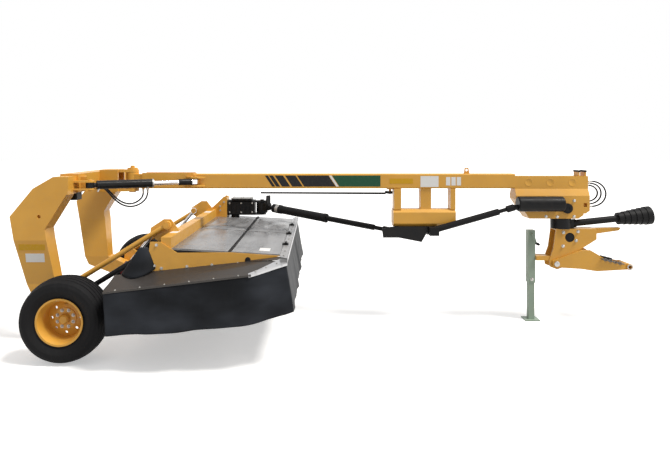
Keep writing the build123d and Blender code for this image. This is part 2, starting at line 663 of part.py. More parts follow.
def rear_deck():
    """The sheet behind the beam: a wall down from the beam, then a slope to the rear rail."""
    inside = SIDE_Y - PLATE_T
    return plate_xz([
        SHELF_REAR, (HB_X[0] + 1, 886), (HB_X[0] + 1, HB_Z[0]), (HB_X[0] + 10, HB_Z[0]), (HB_X[0] + 10, 878),
        (SHELF_REAR[0] + 10, SHELF_REAR[1] - 14), (SHELF_REAR[0], SHELF_REAR[1] - 14),
    ], -inside, inside)


def shelf():
    """The sloped sheet outside a side plate, down to the end curtain, with its front corner cut."""
    outer = HEADER_W / 2
    inner = SIDE_Y + GAP
    lift = 86.0
    front_outer = FRONT_W / 2
    top = [
        (SHELF_REAR[0], -outer, SHELF_REAR[1]), (SHELF_FRONT[0], -outer, SHELF_FRONT[1]),
        (2000.0, -front_outer + 40, 962.0), (1674.0, -inner, 930.0),
        (SHELF_REAR[0], -inner, SHELF_REAR[1] + lift),
    ]
    low = [(x, y, z - 9.0) for x, y, z in top]
    centre = (1200.0, -(outer + inner) / 2, 840.0)
    count = len(top)
    faces = []
    for ring, apex in ((top, centre), (low, (centre[0], centre[1], centre[2] - 9.0))):
        for i in range(count):
            faces.append(Face(Wire.make_polygon([ring[i], ring[(i + 1) % count], apex])))
    for i in range(count):
        j = (i + 1) % count
        faces.append(Face(Wire.make_polygon([top[i], top[j], low[j], low[i]])))
    return Solid(Shell(faces))


def end_curtain():
    """The hanging sheet at the header's end."""
    outer = HEADER_W / 2
    return plate_xz([
        (SHELF_REAR[0], SHELF_REAR[1] - 10), (SHELF_FRONT[0], SHELF_FRONT[1] - 10),
        (SHELF_FRONT[0], 428), (550, 337), (SHELF_REAR[0] + 20, 337),
    ], -outer, -outer + CURTAIN_T)


def corner_plane():
    """The upright plane across the cut front corner, and its run along the ground."""
    a = Vector(SHELF_FRONT[0] + 3, -HEADER_W / 2, 0)
    b = Vector(DECK_FRONT[0] + 20, -FRONT_W / 2 + 3, 0)
    run = b - a
    return Plane(origin=a, x_dir=run, z_dir=run.cross(Vector(0, 0, 1))), run.length


def corner_curtain():
    """The sheet across the cut front corner, from the end curtain to the front curtain."""
    plane, run = corner_plane()
    outline = Polyline((0, SHELF_FRONT[1] - 10), (run - 30, 940), (run + 46, 506), (0, 430), close=True)
    return extrude(plane * make_face(outline), -CURTAIN_T)


def front_curtain():
    """The sheet along the front edge, leaning forward towards its foot."""
    half = FRONT_W / 2
    top = DECK_FRONT[1] - 46 - GAP
    shape = plate_xz([
        (DECK_FRONT[0] - 14, top), (DECK_FRONT[0] - 6, top),
        (DECK_FRONT[0] + 64, 510), (DECK_FRONT[0] + 56, 510),
    ], -half, half)
    # Each end stops against the corner sheet
    plane, run = corner_plane()
    corner = plane * Pos(run, 700, 50 - CURTAIN_T - GAP) * Box(400, 800, 100)
    return shape - corner - other_side(corner)


def rear_curtain():
    """The sheet along the rear edge."""
    half = SIDE_Y - PLATE_T
    rear = SHELF_REAR[0] + 2
    return block((rear, rear + CURTAIN_T), (-half, half), (345, SHELF_REAR[1] - 14 - GAP))


def corner_flap():
    """The rubber flap that closes the gap behind a side plate."""
    return plate_xz([(646, 851), (712, 1068), (760, 1074), (796, 1050), (786, 1000), (654, 852)],
                    -SIDE_Y - 40, -SIDE_Y - GAP)


def pitched(shape):
    """Place a piece drawn level about the cutter bar's middle at the header's pitch."""
    return Pos(BAR_X, 0, BAR_Z) * Rot(0, -PITCH, 0) * shape


def cutter_bar():
    """The flat gear bed that carries the discs, with a skid under each and a bearing under each disc."""
    half = DISC_STEP * DISC_COUNT / 2
    shape = Box(BAR_W, 2 * half, BAR_H)
    shape = chamfer(shape.edges().filter_by(Axis.Y), 10)
    for i in range(DISC_COUNT):
        y = (i - (DISC_COUNT - 1) / 2) * DISC_STEP
        shape += Pos(40, y, -BAR_H / 2 - 6) * Box(230, 150, 12)
        shape += Pos(0, y, BAR_H / 2 + 7) * Cylinder(62, 14)
        shape += Pos(0, y, BAR_H / 2 + 20) * Cylinder(20, 40)
    return pitched(shape)


def bar_support():
    """The arm from a side plate's inner face down behind the discs to the cutter bar's rear edge."""
    inside = SIDE_Y - PLATE_T
    return plate_xz([
        (BAR_EDGE, 394), (BAR_EDGE, 426), (1275, 416), (1265, 562), (1325, 960), (1085, 960), (1175, 562),
        (1193, 394),
    ], -inside, -inside + 26)


def disc(index):
    """An oval disc with a domed middle and two knives hung under its ends."""
    y = (index - (DISC_COUNT - 1) / 2) * DISC_STEP
    low = BAR_H / 2 + 22
    plate = Cylinder(DISC_SHORT, DISC_T, align=BASE)
    for side in (-1, 1):
        plate += Pos(side * (DISC_LONG - 44), 0, 0) * Cylinder(44, DISC_T, align=BASE)
    plate += Pos(0, 0, DISC_T) * Cone(84, 40, 24, align=BASE)
    for side in (-1, 1):
        plate += Pos(side * (DISC_LONG + KNIFE_TIP - 60) / 2, 0, -2) * Box(KNIFE_TIP - DISC_LONG + 60, 46, 4)
    plate -= Pos(0, 0, -8) * Cylinder(20 + GAP, 60, align=BASE)
    turn = 0 if index % 2 == 0 else 90
    return pitched(Pos(0, y, low) * Rot(0, 0, turn) * plate)


def riser():
    """The two cheeks and the face plate that hold the gearbox on the beam's left end."""
    half = GEARBOX_W / 2
    slope = (DECK_FRONT[1] - DECK_REAR[1]) / (DECK_FRONT[0] - DECK_REAR[0])
    foot = DECK_REAR[1] + GAP
    outline = [
        (HB_X[1], foot), (GEARBOX_X[0], foot + slope * (GEARBOX_X[0] - HB_X[1])),
        (GEARBOX_X[0], GEARBOX_Z[1] + 40), (GEARBOX_X[0] - 40, GEARBOX_Z[1] + 54), (HB_X[0] + 20, HB_Z[1]),
        (HB_X[1], HB_Z[1]),
    ]
    shape = plate_xz(outline, GEARBOX_Y - half - 12, GEARBOX_Y - half)
    shape += plate_xz(outline, GEARBOX_Y + half, GEARBOX_Y + half + 12)
    shape += block((GEARBOX_X[0] - 16, GEARBOX_X[0]), (GEARBOX_Y - half, GEARBOX_Y + half),
                   (GEARBOX_Z[0] - 20, GEARBOX_Z[1] + 40))
    return shape


def gearbox():
    """The header gearbox with its lid and the two ears that hold the swivel's pin."""
    x0, x1 = GEARBOX_X
    z0, z1 = GEARBOX_Z
    half = GEARBOX_W / 2
    shape = block((x0, x1), (GEARBOX_Y - half, GEARBOX_Y + half), (z0, z1))
    shape = chamfer(shape.edges().filter_by(Axis.X), 18)
    shape += block((x0 + 60, x1 - 40), (GEARBOX_Y - half - 12, GEARBOX_Y + half + 12), (z1, z1 + 22))
    for z in (z0 + 12, z1 - 16):
        ear = plate_xy([
            (x1 - 10, GEARBOX_Y - half + 20), (SWIVEL[0], GEARBOX_Y - 55), (SWIVEL[0], GEARBOX_Y + 55),
            (x1 - 10, GEARBOX_Y + half - 20),
        ], z - 12, z + 8)
        shape += ear + bar((SWIVEL[0], GEARBOX_Y, z - 12), (SWIVEL[0], GEARBOX_Y, z + 8), 55)
    shape += bar((SWIVEL[0], GEARBOX_Y, z0), (SWIVEL[0], GEARBOX_Y, z1 + 6), 26)
    return shape


def drive_column():
    """The vertical drive housing from the gearbox down to the cutter bar's left end."""
    low, high = 396.0, 430.0
    shape = bar((COLUMN_X, GEARBOX_Y, low), (COLUMN_X, GEARBOX_Y, GEARBOX_Z[0]), COLUMN_R)
    shape += block((COLUMN_X, BAR_EDGE), (GEARBOX_Y - COLUMN_R, GEARBOX_Y + COLUMN_R), (low, high))
    return shape


def rest_yaw():
    """The rear driveline's heading at rest, in degrees."""
    return degrees(atan2(JOINT[1] - SWIVEL[1], JOINT[0] - SWIVEL[0]))


def gear_swivel():
    """The turning part of the header gearbox, with the rod's cradle on its front."""
    z0 = GEARBOX_Z[0] + 12 + 8 + 6
    z1 = GEARBOX_Z[1] - 16 - 12 - 6
    x, y, z = SWIVEL
    shape = bar((x, y, z0), (x, y, z1), SWIVEL_R)
    front = Pos(x, y, 0) * Rot(0, 0, rest_yaw())
    # The nose is round about the level axis that the yoke pitches on
    nose = block((20, 130), (-52, 52), (z - 58, z + 40)) & cross_bar(0, z, -60, 60, NOSE_R)
    shape += front * nose
    high = ROD_GUIDE[2] - 30
    shape += front * plate_xz([(92, z + 40), (118, z + 40), (118, high), (104, high)], -36, 36)
    shape -= bar((x, y, z0 - 1), (x, y, z1 + 1), 26 + GAP)
    return shape


def drive_axis():
    """The rear driveline's start and end points."""
    return SWIVEL, JOINT


def drive_frame():
    """The frame of the driveline's cross: X along the driveline, Y sideways and level."""
    a, b = drive_axis()
    direction = (Vector(*b) - Vector(*a)).normalized()
    sideways = Vector(0, 0, 1).cross(direction).normalized()
    return Plane(origin=along(a, b, CROSS), x_dir=direction, z_dir=direction.cross(sideways))


def joint_yoke():
    """The swivel's output yoke, with the cross pin that the drive tube hangs on."""
    x, y, z = SWIVEL
    level = Pos(x, y, 0) * Rot(0, 0, rest_yaw())
    cross = along(*drive_axis(), CROSS)
    reach = hypot(cross[0] - x, cross[1] - y)
    shape = block((NOSE_R - 10, reach), (-17, 17), (cross[2] - 22, cross[2] + 22))
    shape += block((NOSE_R - 12, NOSE_R + 14), (-40, 40), (z - 46, z + 34))
    shape = level * (shape - cross_bar(0, z, -60, 60, NOSE_R + GAP))
    shape += drive_frame() * Rot(90, 0, 0) * Cylinder(22, 34)
    return shape + drive_frame() * Rot(90, 0, 0) * Cylinder(10, 70)


def drive_tube():
    """The outer tube of the telescoping driveline: a fork on the cross, a collar, then the tube."""
    a, b = drive_axis()
    shape = bar(along(a, b, CROSS + 44), along(a, b, 1060), TUBE_R)
    shape += bar(along(a, b, CROSS + 44), along(a, b, CROSS + 96), TUBE_R + 12)
    for side in (-1, 1):
        arm = Pos(23, side * 25, 0) * Box(48, 14, 44)
        arm += Pos(0, side * 25, 0) * Rot(90, 0, 0) * Cylinder(22, 14)
        shape += drive_frame() * arm
    shape -= drive_frame() * Rot(90, 0, 0) * Cylinder(10 + GAP, 90)
    shape -= bar(along(a, b, CROSS + 110), along(a, b, 1061), SHAFT_R + GAP)
    return shape


def drive_shaft():
    """The middle tube of the driveline."""
    a, b = drive_axis()
    shape = bar(along(a, b, 960), along(a, b, 1745), SHAFT_R)
    shape -= bar(along(a, b, 1330), along(a, b, 1746), TIP_R + GAP)
    return shape


def drive_tip():
    """The end of the driveline at the tongue; it is the linkage's open pivot."""
    a, b = drive_axis()
    reach = (Vector(*b) - Vector(*a)).length
    shape = bar(along(a, b, 1480), along(a, b, reach - TIP_SHORT), TIP_R)
    shape += bar(along(a, b, reach - TIP_SHORT - 90), along(a, b, reach - TIP_SHORT), TIP_R + 14)
    return shape


def rod_clevis():
    """The clevis that turns on the tongue's rod lug."""
    x, y, z = ROD_LUG
    heading = degrees(atan2(ROD_GUIDE[1] - y, ROD_GUIDE[0] - x))
    ring = bar((x, y, z - 4), (x, y, z + 26), 28, 14 + GAP)
    arm = Pos(x, y, z) * Rot(0, 0, heading) * block((26, 62), (-9, 9), (-4, 26))
    return ring + arm


def steering_rod():
    """The thin rod from the tongue that keeps the gearbox swivel in line."""
    x, y, z = ROD_LUG
    start = along(ROD_LUG, ROD_GUIDE, 63)
    reach = (Vector(*ROD_GUIDE) - Vector(*ROD_LUG)).length
    return bar(start, along(ROD_LUG, ROD_GUIDE, reach + ROD_PAST), ROD_R)


def hitch_gearbox():
    """The swivel gearbox under the tongue's head."""
    z0, z1 = HITCH_BOX_Z
    shape = bar((HITCH_X, 0, z0), (HITCH_X, 0, z1), 112)
    shape += block((HITCH_X, 5262), (-60, 60), (z0, z1 - 14))
    shape -= bar((HITCH_X, 0, HEAD_Z[0] - 44), (HITCH_X, 0, z1 + 1), 60 + GAP)
    return shape


def hitch_yoke():
    """Two shaped cheeks under the gearbox, joined by a top plate, and the arm that holds the PTO shaft."""
    near, far = YOKE_Y
    cheek = [
        (5050, 1046), (5510, 1046), (5510, 930), (5380, 850), (5230, 760), (5120, 610), (5060, 590),
        (4985, 620), (4975, 700), (5020, 830),
    ]
    shape = plate_xz(cheek, -far, -near) + plate_xz(cheek, near, far)
    for side in (-1, 1):
        shape -= cross_bar(5206, 953, side * (near - 1), side * (far + 1), 54)
    shape += block((5050, 5510), (-far, far), (1034, 1050))
    shape += cross_bar(5320, 880, -near, near, 30)
    arm = [(5476, 1034), (5510, 1034), (5805, 1040), (5805, 1058), (5510, 1052), (5476, 1050)]
    shape += plate_xz(arm, -30, 30)
    # Pin for the drawbar and tube for the jack
    shape += cross_bar(HITCH_PIN[0], HITCH_PIN[1], -far - 40, far + 40, PIN_R)
    shape += block((JACK_X + JACK_SIDE / 2, 5000), (-near - 8, near + 8), (690, 740))
    return shape


def drawbar():
    """The drawbar yoke: two arms from the hitch pin to a cross tube at the front."""
    inner = YOKE_Y[1] + 4
    outer = inner + 22
    x, z = HITCH_PIN
    arm = [
        (x - 40, z - 30), (x - 40, z + 36), (x + 60, z + 66), (5330, 812), (5430, 812), (5620, 700),
        (BAR_EYE[0], BAR_EYE[1] + 30), (BAR_EYE[0], BAR_EYE[1] - 30), (5500, 574), (5330, 600),
        (x + 60, z - 46),
    ]
    shape = plate_xz(arm, -outer, -inner) + plate_xz(arm, inner, outer)
    shape += block((5560, 5700), (-inner, inner), (600, 640))
    shape += cross_bar(BAR_EYE[0], BAR_EYE[1], -outer - 14, outer + 14, BAR_EYE_R)
    shape -= cross_bar(BAR_EYE[0], BAR_EYE[1], -outer - 20, outer + 20, BAR_BORE_R)
    shape -= cross_bar(x, z, -outer - 1, outer + 1, PIN_R + GAP)
    return shape


def jack_tube():
    """The square outer tube of the parking jack, with its gear cap and crank."""
    half = JACK_SIDE / 2
    outer = block((JACK_X - half, JACK_X + half), (-half, half), (JACK_BOTTOM, JACK_TOP))
    bore = half - JACK_WALL
    outer -= block((JACK_X - bore, JACK_X + bore), (-bore, bore), (JACK_BOTTOM - 1, JACK_TOP - 30))
    outer += cross_bar(JACK_X, JACK_TOP - 40, -half, -half - 60, 12)
    outer += bar((JACK_X, -half - 54, JACK_TOP - 46), (JACK_X + 30, -half - 54, JACK_TOP - 140), 9)
    return outer


def jack_leg():
    """The inner leg of the jack and its foot plate."""
    side = JACK_SIDE / 2 - JACK_WALL - GAP
    shape = block((JACK_X - side, JACK_X + side), (-side, side), (10, JACK_BOTTOM + 130))
    foot = FOOT_SIDE / 2
    shape += block((JACK_X - foot, JACK_X + foot), (-foot, foot), (0, 12))
    return shape


def pto_frame():
    """The tilted frame of the PTO shaft, with its axis along local Z."""
    direction = Vector(cos(radians(PTO_TILT)), 0, sin(radians(PTO_TILT)))
    return Plane(origin=(PTO_REAR[0], 0, PTO_REAR[1]), x_dir=(0, 1, 0), z_dir=direction)


def pto_length():
    """Length of the PTO shaft from the gearbox to the shield's rim."""
    rim = FRONT_REACH - SHIELD_R * sin(radians(PTO_TILT))
    return (rim - PTO_REAR[0]) / cos(radians(PTO_TILT))


def ring_stack(rows):
    """Rings along local Z: start, end, outer radius, inner radius."""
    shape = None
    for start, end, outer, inner in rows:
        piece = Pos(0, 0, start) * Cylinder(outer, end - start, align=BASE)
        piece -= Pos(0, 0, start) * Cylinder(inner, end - start, align=BASE)
        shape = piece if shape is None else shape + piece
    return shape


def pto_tube():
    """The fixed shield tube round the PTO shaft."""
    end = pto_length() - SHIELD_L
    return pto_frame() * ring_stack([(6, 40, 48, PTO_SHAFT_R + 6), (40, end, 38, PTO_SHAFT_R + 6)])


def pto_shield():
    """The ribbed bell shield at the shaft's front end."""
    start = pto_length() - SHIELD_L
    step = SHIELD_L / 6
    wall = 6
    rows = [(start, start + 8, 62, PTO_SHAFT_R + 6)]
    for i in range(6):
        outer = 62 + (SHIELD_R - 62) * (i + 1) / 6
        rows.append((start + i * step, start + (i + 1) * step, outer, outer - wall - 7))
    return pto_frame() * ring_stack(rows) + pto_tube()


def pto_shaft():
    """The turning shaft with the solid rear of its yoke."""
    length = pto_length()
    shape = Pos(0, 0, 2.7) * Cylinder(PTO_SHAFT_R, length - 190, align=BASE)
    shape += Pos(0, 0, length - 190) * Cylinder(PTO_YOKE_R, 80 - GAP, align=BASE)
    return pto_frame() * shape


def pto_socket():
    """The front of the yoke, a collar bored for the stub it drives from."""
    collar = Cylinder(PTO_YOKE_R, 90, align=BASE) - Cylinder(PTO_BORE_R, 90, align=BASE)
    return pto_frame() * Pos(0, 0, pto_length() - 110) * collar


def hose(points):
    """A hose as straight runs joined by the largest tangent arcs."""
    corners = [Vector(*p) for p in points]
    radii = []
    for before, here, after in zip(corners, corners[1:], corners[2:]):
        turn = radians((here - before).get_angle(after - here))
        shorter = min((here - before).length, (after - here).length)
        radii.append(0.45 * shorter / (sin(turn / 2) / cos(turn / 2)))
    path = FilletPolyline(*corners, radius=radii)
    section = Plane(origin=path @ 0, z_dir=path % 0) * Circle(HOSE_R)
    print("hose radii", [round(r) for r in radii], "length", round(path.length))
    return sweep(section, path)


def main():
    os.makedirs("parts", exist_ok=True)
    save("tyre_right", tyre())
    save("tyre_left", other_side(tyre()))
    save("wheel_right", wheel())
    save("wheel_left", other_side(wheel()))
    pairs = {
        "legs": (leg(),),
        "toe_plates": (toe_plate(),),
        "lift_barrels": (lift_barrel(),),
        "lift_rods": (lift_rod(),),
        "upper_links": (link(UPPER_REAR, UPPER_FRONT, GAP),),
        "lower_links": (link(LOWER_REAR, LOWER_FRONT, 1.0),),
        "side_plates": (side_plate(),),
        "shelves": (shelf(),),
        "end_curtains": (end_curtain(), corner_curtain()),
        "corner_flaps": (corner_flap(),),
        "bar_supports": (bar_support(),),
    }
    for name, solids in pairs.items():
        save(name, *solids, *(other_side(solid) for solid in solids))
    singles = (
        cross_beam, pivot_nose, swing_anchor, control_box, tongue_beam, mid_bracket, joint_guard,
        tongue_head, canister, front_driveline, swing_barrel, swing_rod, header_beam, front_curtain,
        rear_curtain, cutter_bar, gearbox, drive_column, gear_swivel, joint_yoke, drive_tube,
        drive_shaft, drive_tip, rod_clevis, steering_rod, hitch_gearbox, hitch_yoke, drawbar,
        jack_tube, jack_leg, pto_shield,
    )
    for piece in singles:
        save(piece.__name__, piece())
    save("deck", front_deck(), rear_deck())
    save("pto_shaft", pto_shaft(), pto_socket())
    for index in range(DISC_COUNT):
        save(f"disc_{index + 1}", disc(index))
    for index, route in enumerate(PIVOT_HOSE_ROUTES):
        save(f"pivot_hose_{index + 1}", hose(route))
    for index, route in enumerate(HEAD_HOSE_ROUTES):
        save(f"head_hose_{index + 1}", hose(route))


main()
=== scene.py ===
import math
import random

import bmesh
import bpy
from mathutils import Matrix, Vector


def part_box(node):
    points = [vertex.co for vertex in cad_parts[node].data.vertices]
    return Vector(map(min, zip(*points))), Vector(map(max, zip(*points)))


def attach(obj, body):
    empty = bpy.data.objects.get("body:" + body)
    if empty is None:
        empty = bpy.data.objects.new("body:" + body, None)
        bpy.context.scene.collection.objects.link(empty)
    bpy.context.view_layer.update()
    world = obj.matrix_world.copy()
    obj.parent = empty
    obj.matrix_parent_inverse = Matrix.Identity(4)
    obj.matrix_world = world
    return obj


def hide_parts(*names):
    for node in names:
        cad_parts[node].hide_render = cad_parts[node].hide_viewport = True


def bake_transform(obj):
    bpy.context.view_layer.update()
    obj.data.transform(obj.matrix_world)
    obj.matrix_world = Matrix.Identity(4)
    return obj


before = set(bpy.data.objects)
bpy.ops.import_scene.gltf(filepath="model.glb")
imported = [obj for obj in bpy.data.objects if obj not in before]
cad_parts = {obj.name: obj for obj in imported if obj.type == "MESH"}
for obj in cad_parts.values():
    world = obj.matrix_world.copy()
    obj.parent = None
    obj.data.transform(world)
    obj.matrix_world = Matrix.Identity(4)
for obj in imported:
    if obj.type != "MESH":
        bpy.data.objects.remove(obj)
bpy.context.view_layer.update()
SIDES = ((-1, "right"), (1, "left"))

# Places below are millimetres from the wheel axle, X forward, Y left, Z up from the ground; at() turns them
# into the row frame's metres.
TYRE_LOW, TYRE_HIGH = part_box("tyre_right")
AXLE = (TYRE_LOW[0] + TYRE_HIGH[0]) / 2


def at(x, y, z):
    """A place in the frame's metres."""
    return Vector((x / 1000 + AXLE, y / 1000, z / 1000))


# Camera: level, square to the mower's right side, shifted down to frame it
IMAGE = (670, 450)
FOCAL_PX = 567
HORIZON_PX = (318, 145)
EYE = (2346, -6520, 2003)
SENSOR = 36
camera = bpy.data.objects.new("camera", bpy.data.cameras.new("camera"))
bpy.context.collection.objects.link(camera)
camera.location = at(*EYE)
camera.rotation_euler = (math.radians(90), 0, 0)
camera.data.sensor_width = SENSOR
camera.data.lens = SENSOR * FOCAL_PX / IMAGE[0]
camera.data.shift_x = (IMAGE[0] / 2 - HORIZON_PX[0]) / IMAGE[0]
camera.data.shift_y = (HORIZON_PX[1] - IMAGE[1] / 2) / IMAGE[0]
bpy.context.scene.camera = camera
bpy.context.scene.view_settings.view_transform = "Standard"

# Hose routes, as the solids have them
HOSE_R = 9
HEAD_HOSES = (
    ((5443.3, -40, 1590), (5490, -40, 1590), (5558, -42, 1570), (5612, -46, 1522), (5636, -48, 1452),
     (5620, -48, 1382), (5570, -45, 1326), (5496, -40, 1300), (5443.3, -40, 1300)),
    ((5443.3, 0, 1564), (5486, 0, 1564), (5546, 3, 1548), (5592, 6, 1506), (5608, 8, 1446),
     (5592, 8, 1388), (5546, 4, 1346), (5488, 0, 1326), (5443.3, 0, 1326)),
    ((5443.3, 40, 1538), (5482, 40, 1538), (5534, 42, 1524), (5572, 46, 1488), (5584, 47, 1446),
     (5570, 46, 1402), (5532, 43, 1368), (5482, 40, 1352), (5443.3, 40, 1352)),
)
PIVOT_HOSES = (
    ((-95.7, -220, 1543), (-52, -220, 1543), (-4, -214, 1520), (40, -200, 1470), (88, -176, 1408),
     (146, -144, 1358), (212, -108, 1334), (276, -78, 1348), (328, -56, 1390), (352, -46, 1438),
     (352, -46, 1483.7)),
    ((-95.7, -264, 1543), (-52, -264, 1543), (-2, -258, 1516), (42, -240, 1458), (92, -210, 1388),
     (154, -168, 1330), (228, -116, 1304), (302, -66, 1320), (360, -32, 1366), (392, -16, 1424),
     (392, -16, 1483.7)),
)


class Flow:
    """A socket of a material's nodes. Maths on it adds Math nodes; node() adds any other node."""

    def __init__(self, tree, socket=None):
        self.tree = tree
        self.socket = socket

    def node(self, kind, settings=None, sockets=None, out=0):
        """Add a node: its settings first, then the values or links of its sockets."""
        made = self.tree.nodes.new(kind)
        for name, value in (settings or {}).items():
            if name == "stops":
                ramp = made.color_ramp
                while len(ramp.elements) < len(value):
                    ramp.elements.new(1.0)
                for element, (place, colour) in zip(ramp.elements, value):
                    element.position = place
                    element.color = colour
            else:
                setattr(made, name, value)
        for name, value in (sockets or {}).items():
            if isinstance(value, Flow):
                self.tree.links.new(value.socket, made.inputs[name])
            else:
                made.inputs[name].default_value = value
        return Flow(self.tree, made.outputs[out])

    def maths(self, operation, a, b):
        return self.node("ShaderNodeMath", {"operation": operation}, {0: a, 1: b})

    def __add__(self, other):
        return self.maths("ADD", self, other)

    def __sub__(self, other):
        return self.maths("SUBTRACT", self, other)

    def __mul__(self, other):
        return self.maths("MULTIPLY", self, other)

    def __rsub__(self, other):
        return self.maths("SUBTRACT", other, self)

    __radd__ = __add__
    __rmul__ = __mul__

    def above(self, edge, soft):
        """0 below the edge, 1 above it, over a soft width."""
        return self.node("ShaderNodeMapRange", {"interpolation_type": "SMOOTHSTEP"},
                         {"Value": self, "From Min": edge - soft, "From Max": edge + soft})

    def place(self):
        """Coordinates of the object itself."""
        return self.node("ShaderNodeTexCoord", out=3)

    def noise(self, scale, detail=4.0, stretch=(1, 1, 1)):
        spread = self.node("ShaderNodeMapping", {}, {"Vector": self.place(), "Scale": stretch})
        return self.node("ShaderNodeTexNoise", {}, {"Vector": spread, "Scale": scale, "Detail": detail})

    def mix(self, amount, first, second):
        return self.node("ShaderNodeMix", {"data_type": "RGBA"}, {0: amount, 6: first, 7: second}, out=2)

    def bump(self, height, strength, distance):
        return self.node("ShaderNodeBump", {},
                         {"Height": height, "Strength": strength, "Distance": distance})


def rgb(red, green, blue):
    return (red, green, blue, 1.0)


def finish(name, look, **constants):
    """A material: look(flow) gives what varies over the surface, constants are set on the shader."""
    made = bpy.data.materials.new(name)
    made.use_nodes = True
    tree = made.node_tree
    shader = tree.nodes["Principled BSDF"]
    for key, value in constants.items():
        shader.inputs[key.replace("_", " ")].default_value = value
    for key, value in look(Flow(tree)).items():
        tree.links.new(value.socket, shader.inputs[key])
    return made


def paint(name, colour, dark, rough=0.34, dust=0.2, gloss=0.35):
    """Sprayed paint: slow colour drift, dust with more of it on flat tops, orange peel."""
    def look(flow):
        drift = flow.noise(2.2, 3.0)
        grime = flow.noise(14.0, 6.0)
        up = flow.node("ShaderNodeNewGeometry", out=1)
        top = flow.node("ShaderNodeSeparateXYZ", {}, {"Vector": up}, out=2).above(0.8, 0.15)
        soil = grime.above(0.56, 0.14)
        base = flow.mix(drift.above(0.5, 0.22), dark, colour)
        base = flow.mix(soil * dust * (0.25 + 0.5 * top), base, rgb(0.36, 0.31, 0.24))
        peel = flow.noise(420.0, 2.0)
        return {"Base Color": base, "Roughness": rough + 0.16 * soil + 0.06 * drift,
                "Normal": flow.bump(peel, 0.06, 0.001)}
    return finish(name, look, Coat_Weight=0.4 * gloss, Coat_Roughness=0.12, Specular_IOR_Level=gloss)


def rubber(name, colour, rough, grain=900.0, wear=0.5, sheen=0.12, painted_sheen=0.0):
    """Rubber or coated fabric: fine grain, dusty drift, scuffs, and wide bluish patches of painted sheen
    that stand for sky reflection on folds.
    """
    def look(flow):
        drift = flow.noise(3.0, 5.0)
        scuff = flow.noise(26.0, 8.0, (1, 1, 0.25)).above(0.6, 0.12)
        light = rgb(*(1.5 * c + 0.012 for c in colour))
        base = flow.mix(scuff * wear * 0.5 + 0.15 * drift, rgb(*colour), light)
        # Wide bluish patches painted into the base colour: painted sheen, a reflection of the sky on the
        # folds.
        if painted_sheen:
            sheen_cloud = flow.noise(1.5, 3.0, (1, 1, 2)).above(0.5, 0.2)
            base = flow.mix(sheen_cloud * painted_sheen, base, rgb(0.044, 0.049, 0.060))
        fine = flow.noise(grain, 2.0)
        return {"Base Color": base, "Roughness": rough + 0.18 * drift + 0.1 * scuff,
                "Normal": flow.bump(fine, 0.12, 0.0006)}
    return finish(name, look, Specular_IOR_Level=sheen)


def vinyl(name, dark, light):
    """Glossy vinyl with streaks across the mower painted in as reflection, and a fine grain."""
    def look(flow):
        # Light and dark streaks painted into the base colour: painted reflection of the sky on the glossy
        # vinyl.
        streak = flow.noise(2.4, 7.0, (2.2, 0.5, 1)).above(0.5, 0.2)
        sheen_cloud = flow.noise(5.0, 5.0)
        fine = flow.noise(700.0, 2.0)
        base = flow.mix(streak * 0.8 + 0.2 * sheen_cloud, rgb(*dark), rgb(*light))
        return {"Base Color": base, "Roughness": 0.16 + 0.16 * sheen_cloud,
                "Normal": flow.bump(fine, 0.08, 0.0006)}
    return finish(name, look, Specular_IOR_Level=0.7)


def metal(name, colour, rough, streak, stain):
    """Bare or plated steel with streaks and a little staining."""
    def look(flow):
        brushed = flow.noise(160.0, 3.0, streak)
        spots = flow.noise(18.0, 6.0).above(0.58, 0.1)
        base = flow.mix(spots * stain, rgb(*colour), rgb(*(0.35 * c for c in colour)))
        return {"Base Color": base, "Roughness": rough + 0.1 * brushed + 0.25 * spots * stain,
                "Normal": flow.bump(brushed, 0.05, 0.0008)}
    return finish(name, look, Metallic=1.0)


def flat_print(name, colour, rough=0.4):
    """A printed film: even colour with a trace of dust."""
    def look(flow):
        dust = flow.noise(40.0, 5.0).above(0.6, 0.15)
        base = flow.mix(dust * 0.05, rgb(*colour), rgb(0.34, 0.32, 0.28))
        return {"Base Color": base, "Roughness": rough + 0.2 * dust}
    return finish(name, look, Specular_IOR_Level=0.2)


YELLOW = paint("yellow_paint", rgb(0.76, 0.40, 0.06), rgb(0.68, 0.345, 0.048))
BLACK = paint("black_paint", rgb(0.014, 0.014, 0.015), rgb(0.009, 0.009, 0.010), 0.34, 0.06, 0.12)
JACK_GREEN = paint("jack_grey_green", rgb(0.34, 0.43, 0.345), rgb(0.28, 0.36, 0.29), 0.45)
TYRE = rubber("tyre_rubber", (0.010, 0.010, 0.011), 0.6, 500.0, 0.6)
# The curtain rubber carries the wide bluish patches of painted sheen (its last value).
CURTAIN = rubber("curtain_rubber", (0.012, 0.013, 0.015), 0.42, 1100.0, 0.2, 0.05, 0.8)
# A much lighter copy of the curtain rubber for the front curtain: painted light for its sunlit face.
SUNLIT_CURTAIN = rubber("sunlit_front_curtain_rubber", (0.085, 0.088, 0.094), 0.5, 1100.0, 0.2, 0.03)
SHELF = rubber("shelf_vinyl", (0.036, 0.031, 0.028), 0.3, 900.0, 0.5, 0.4)
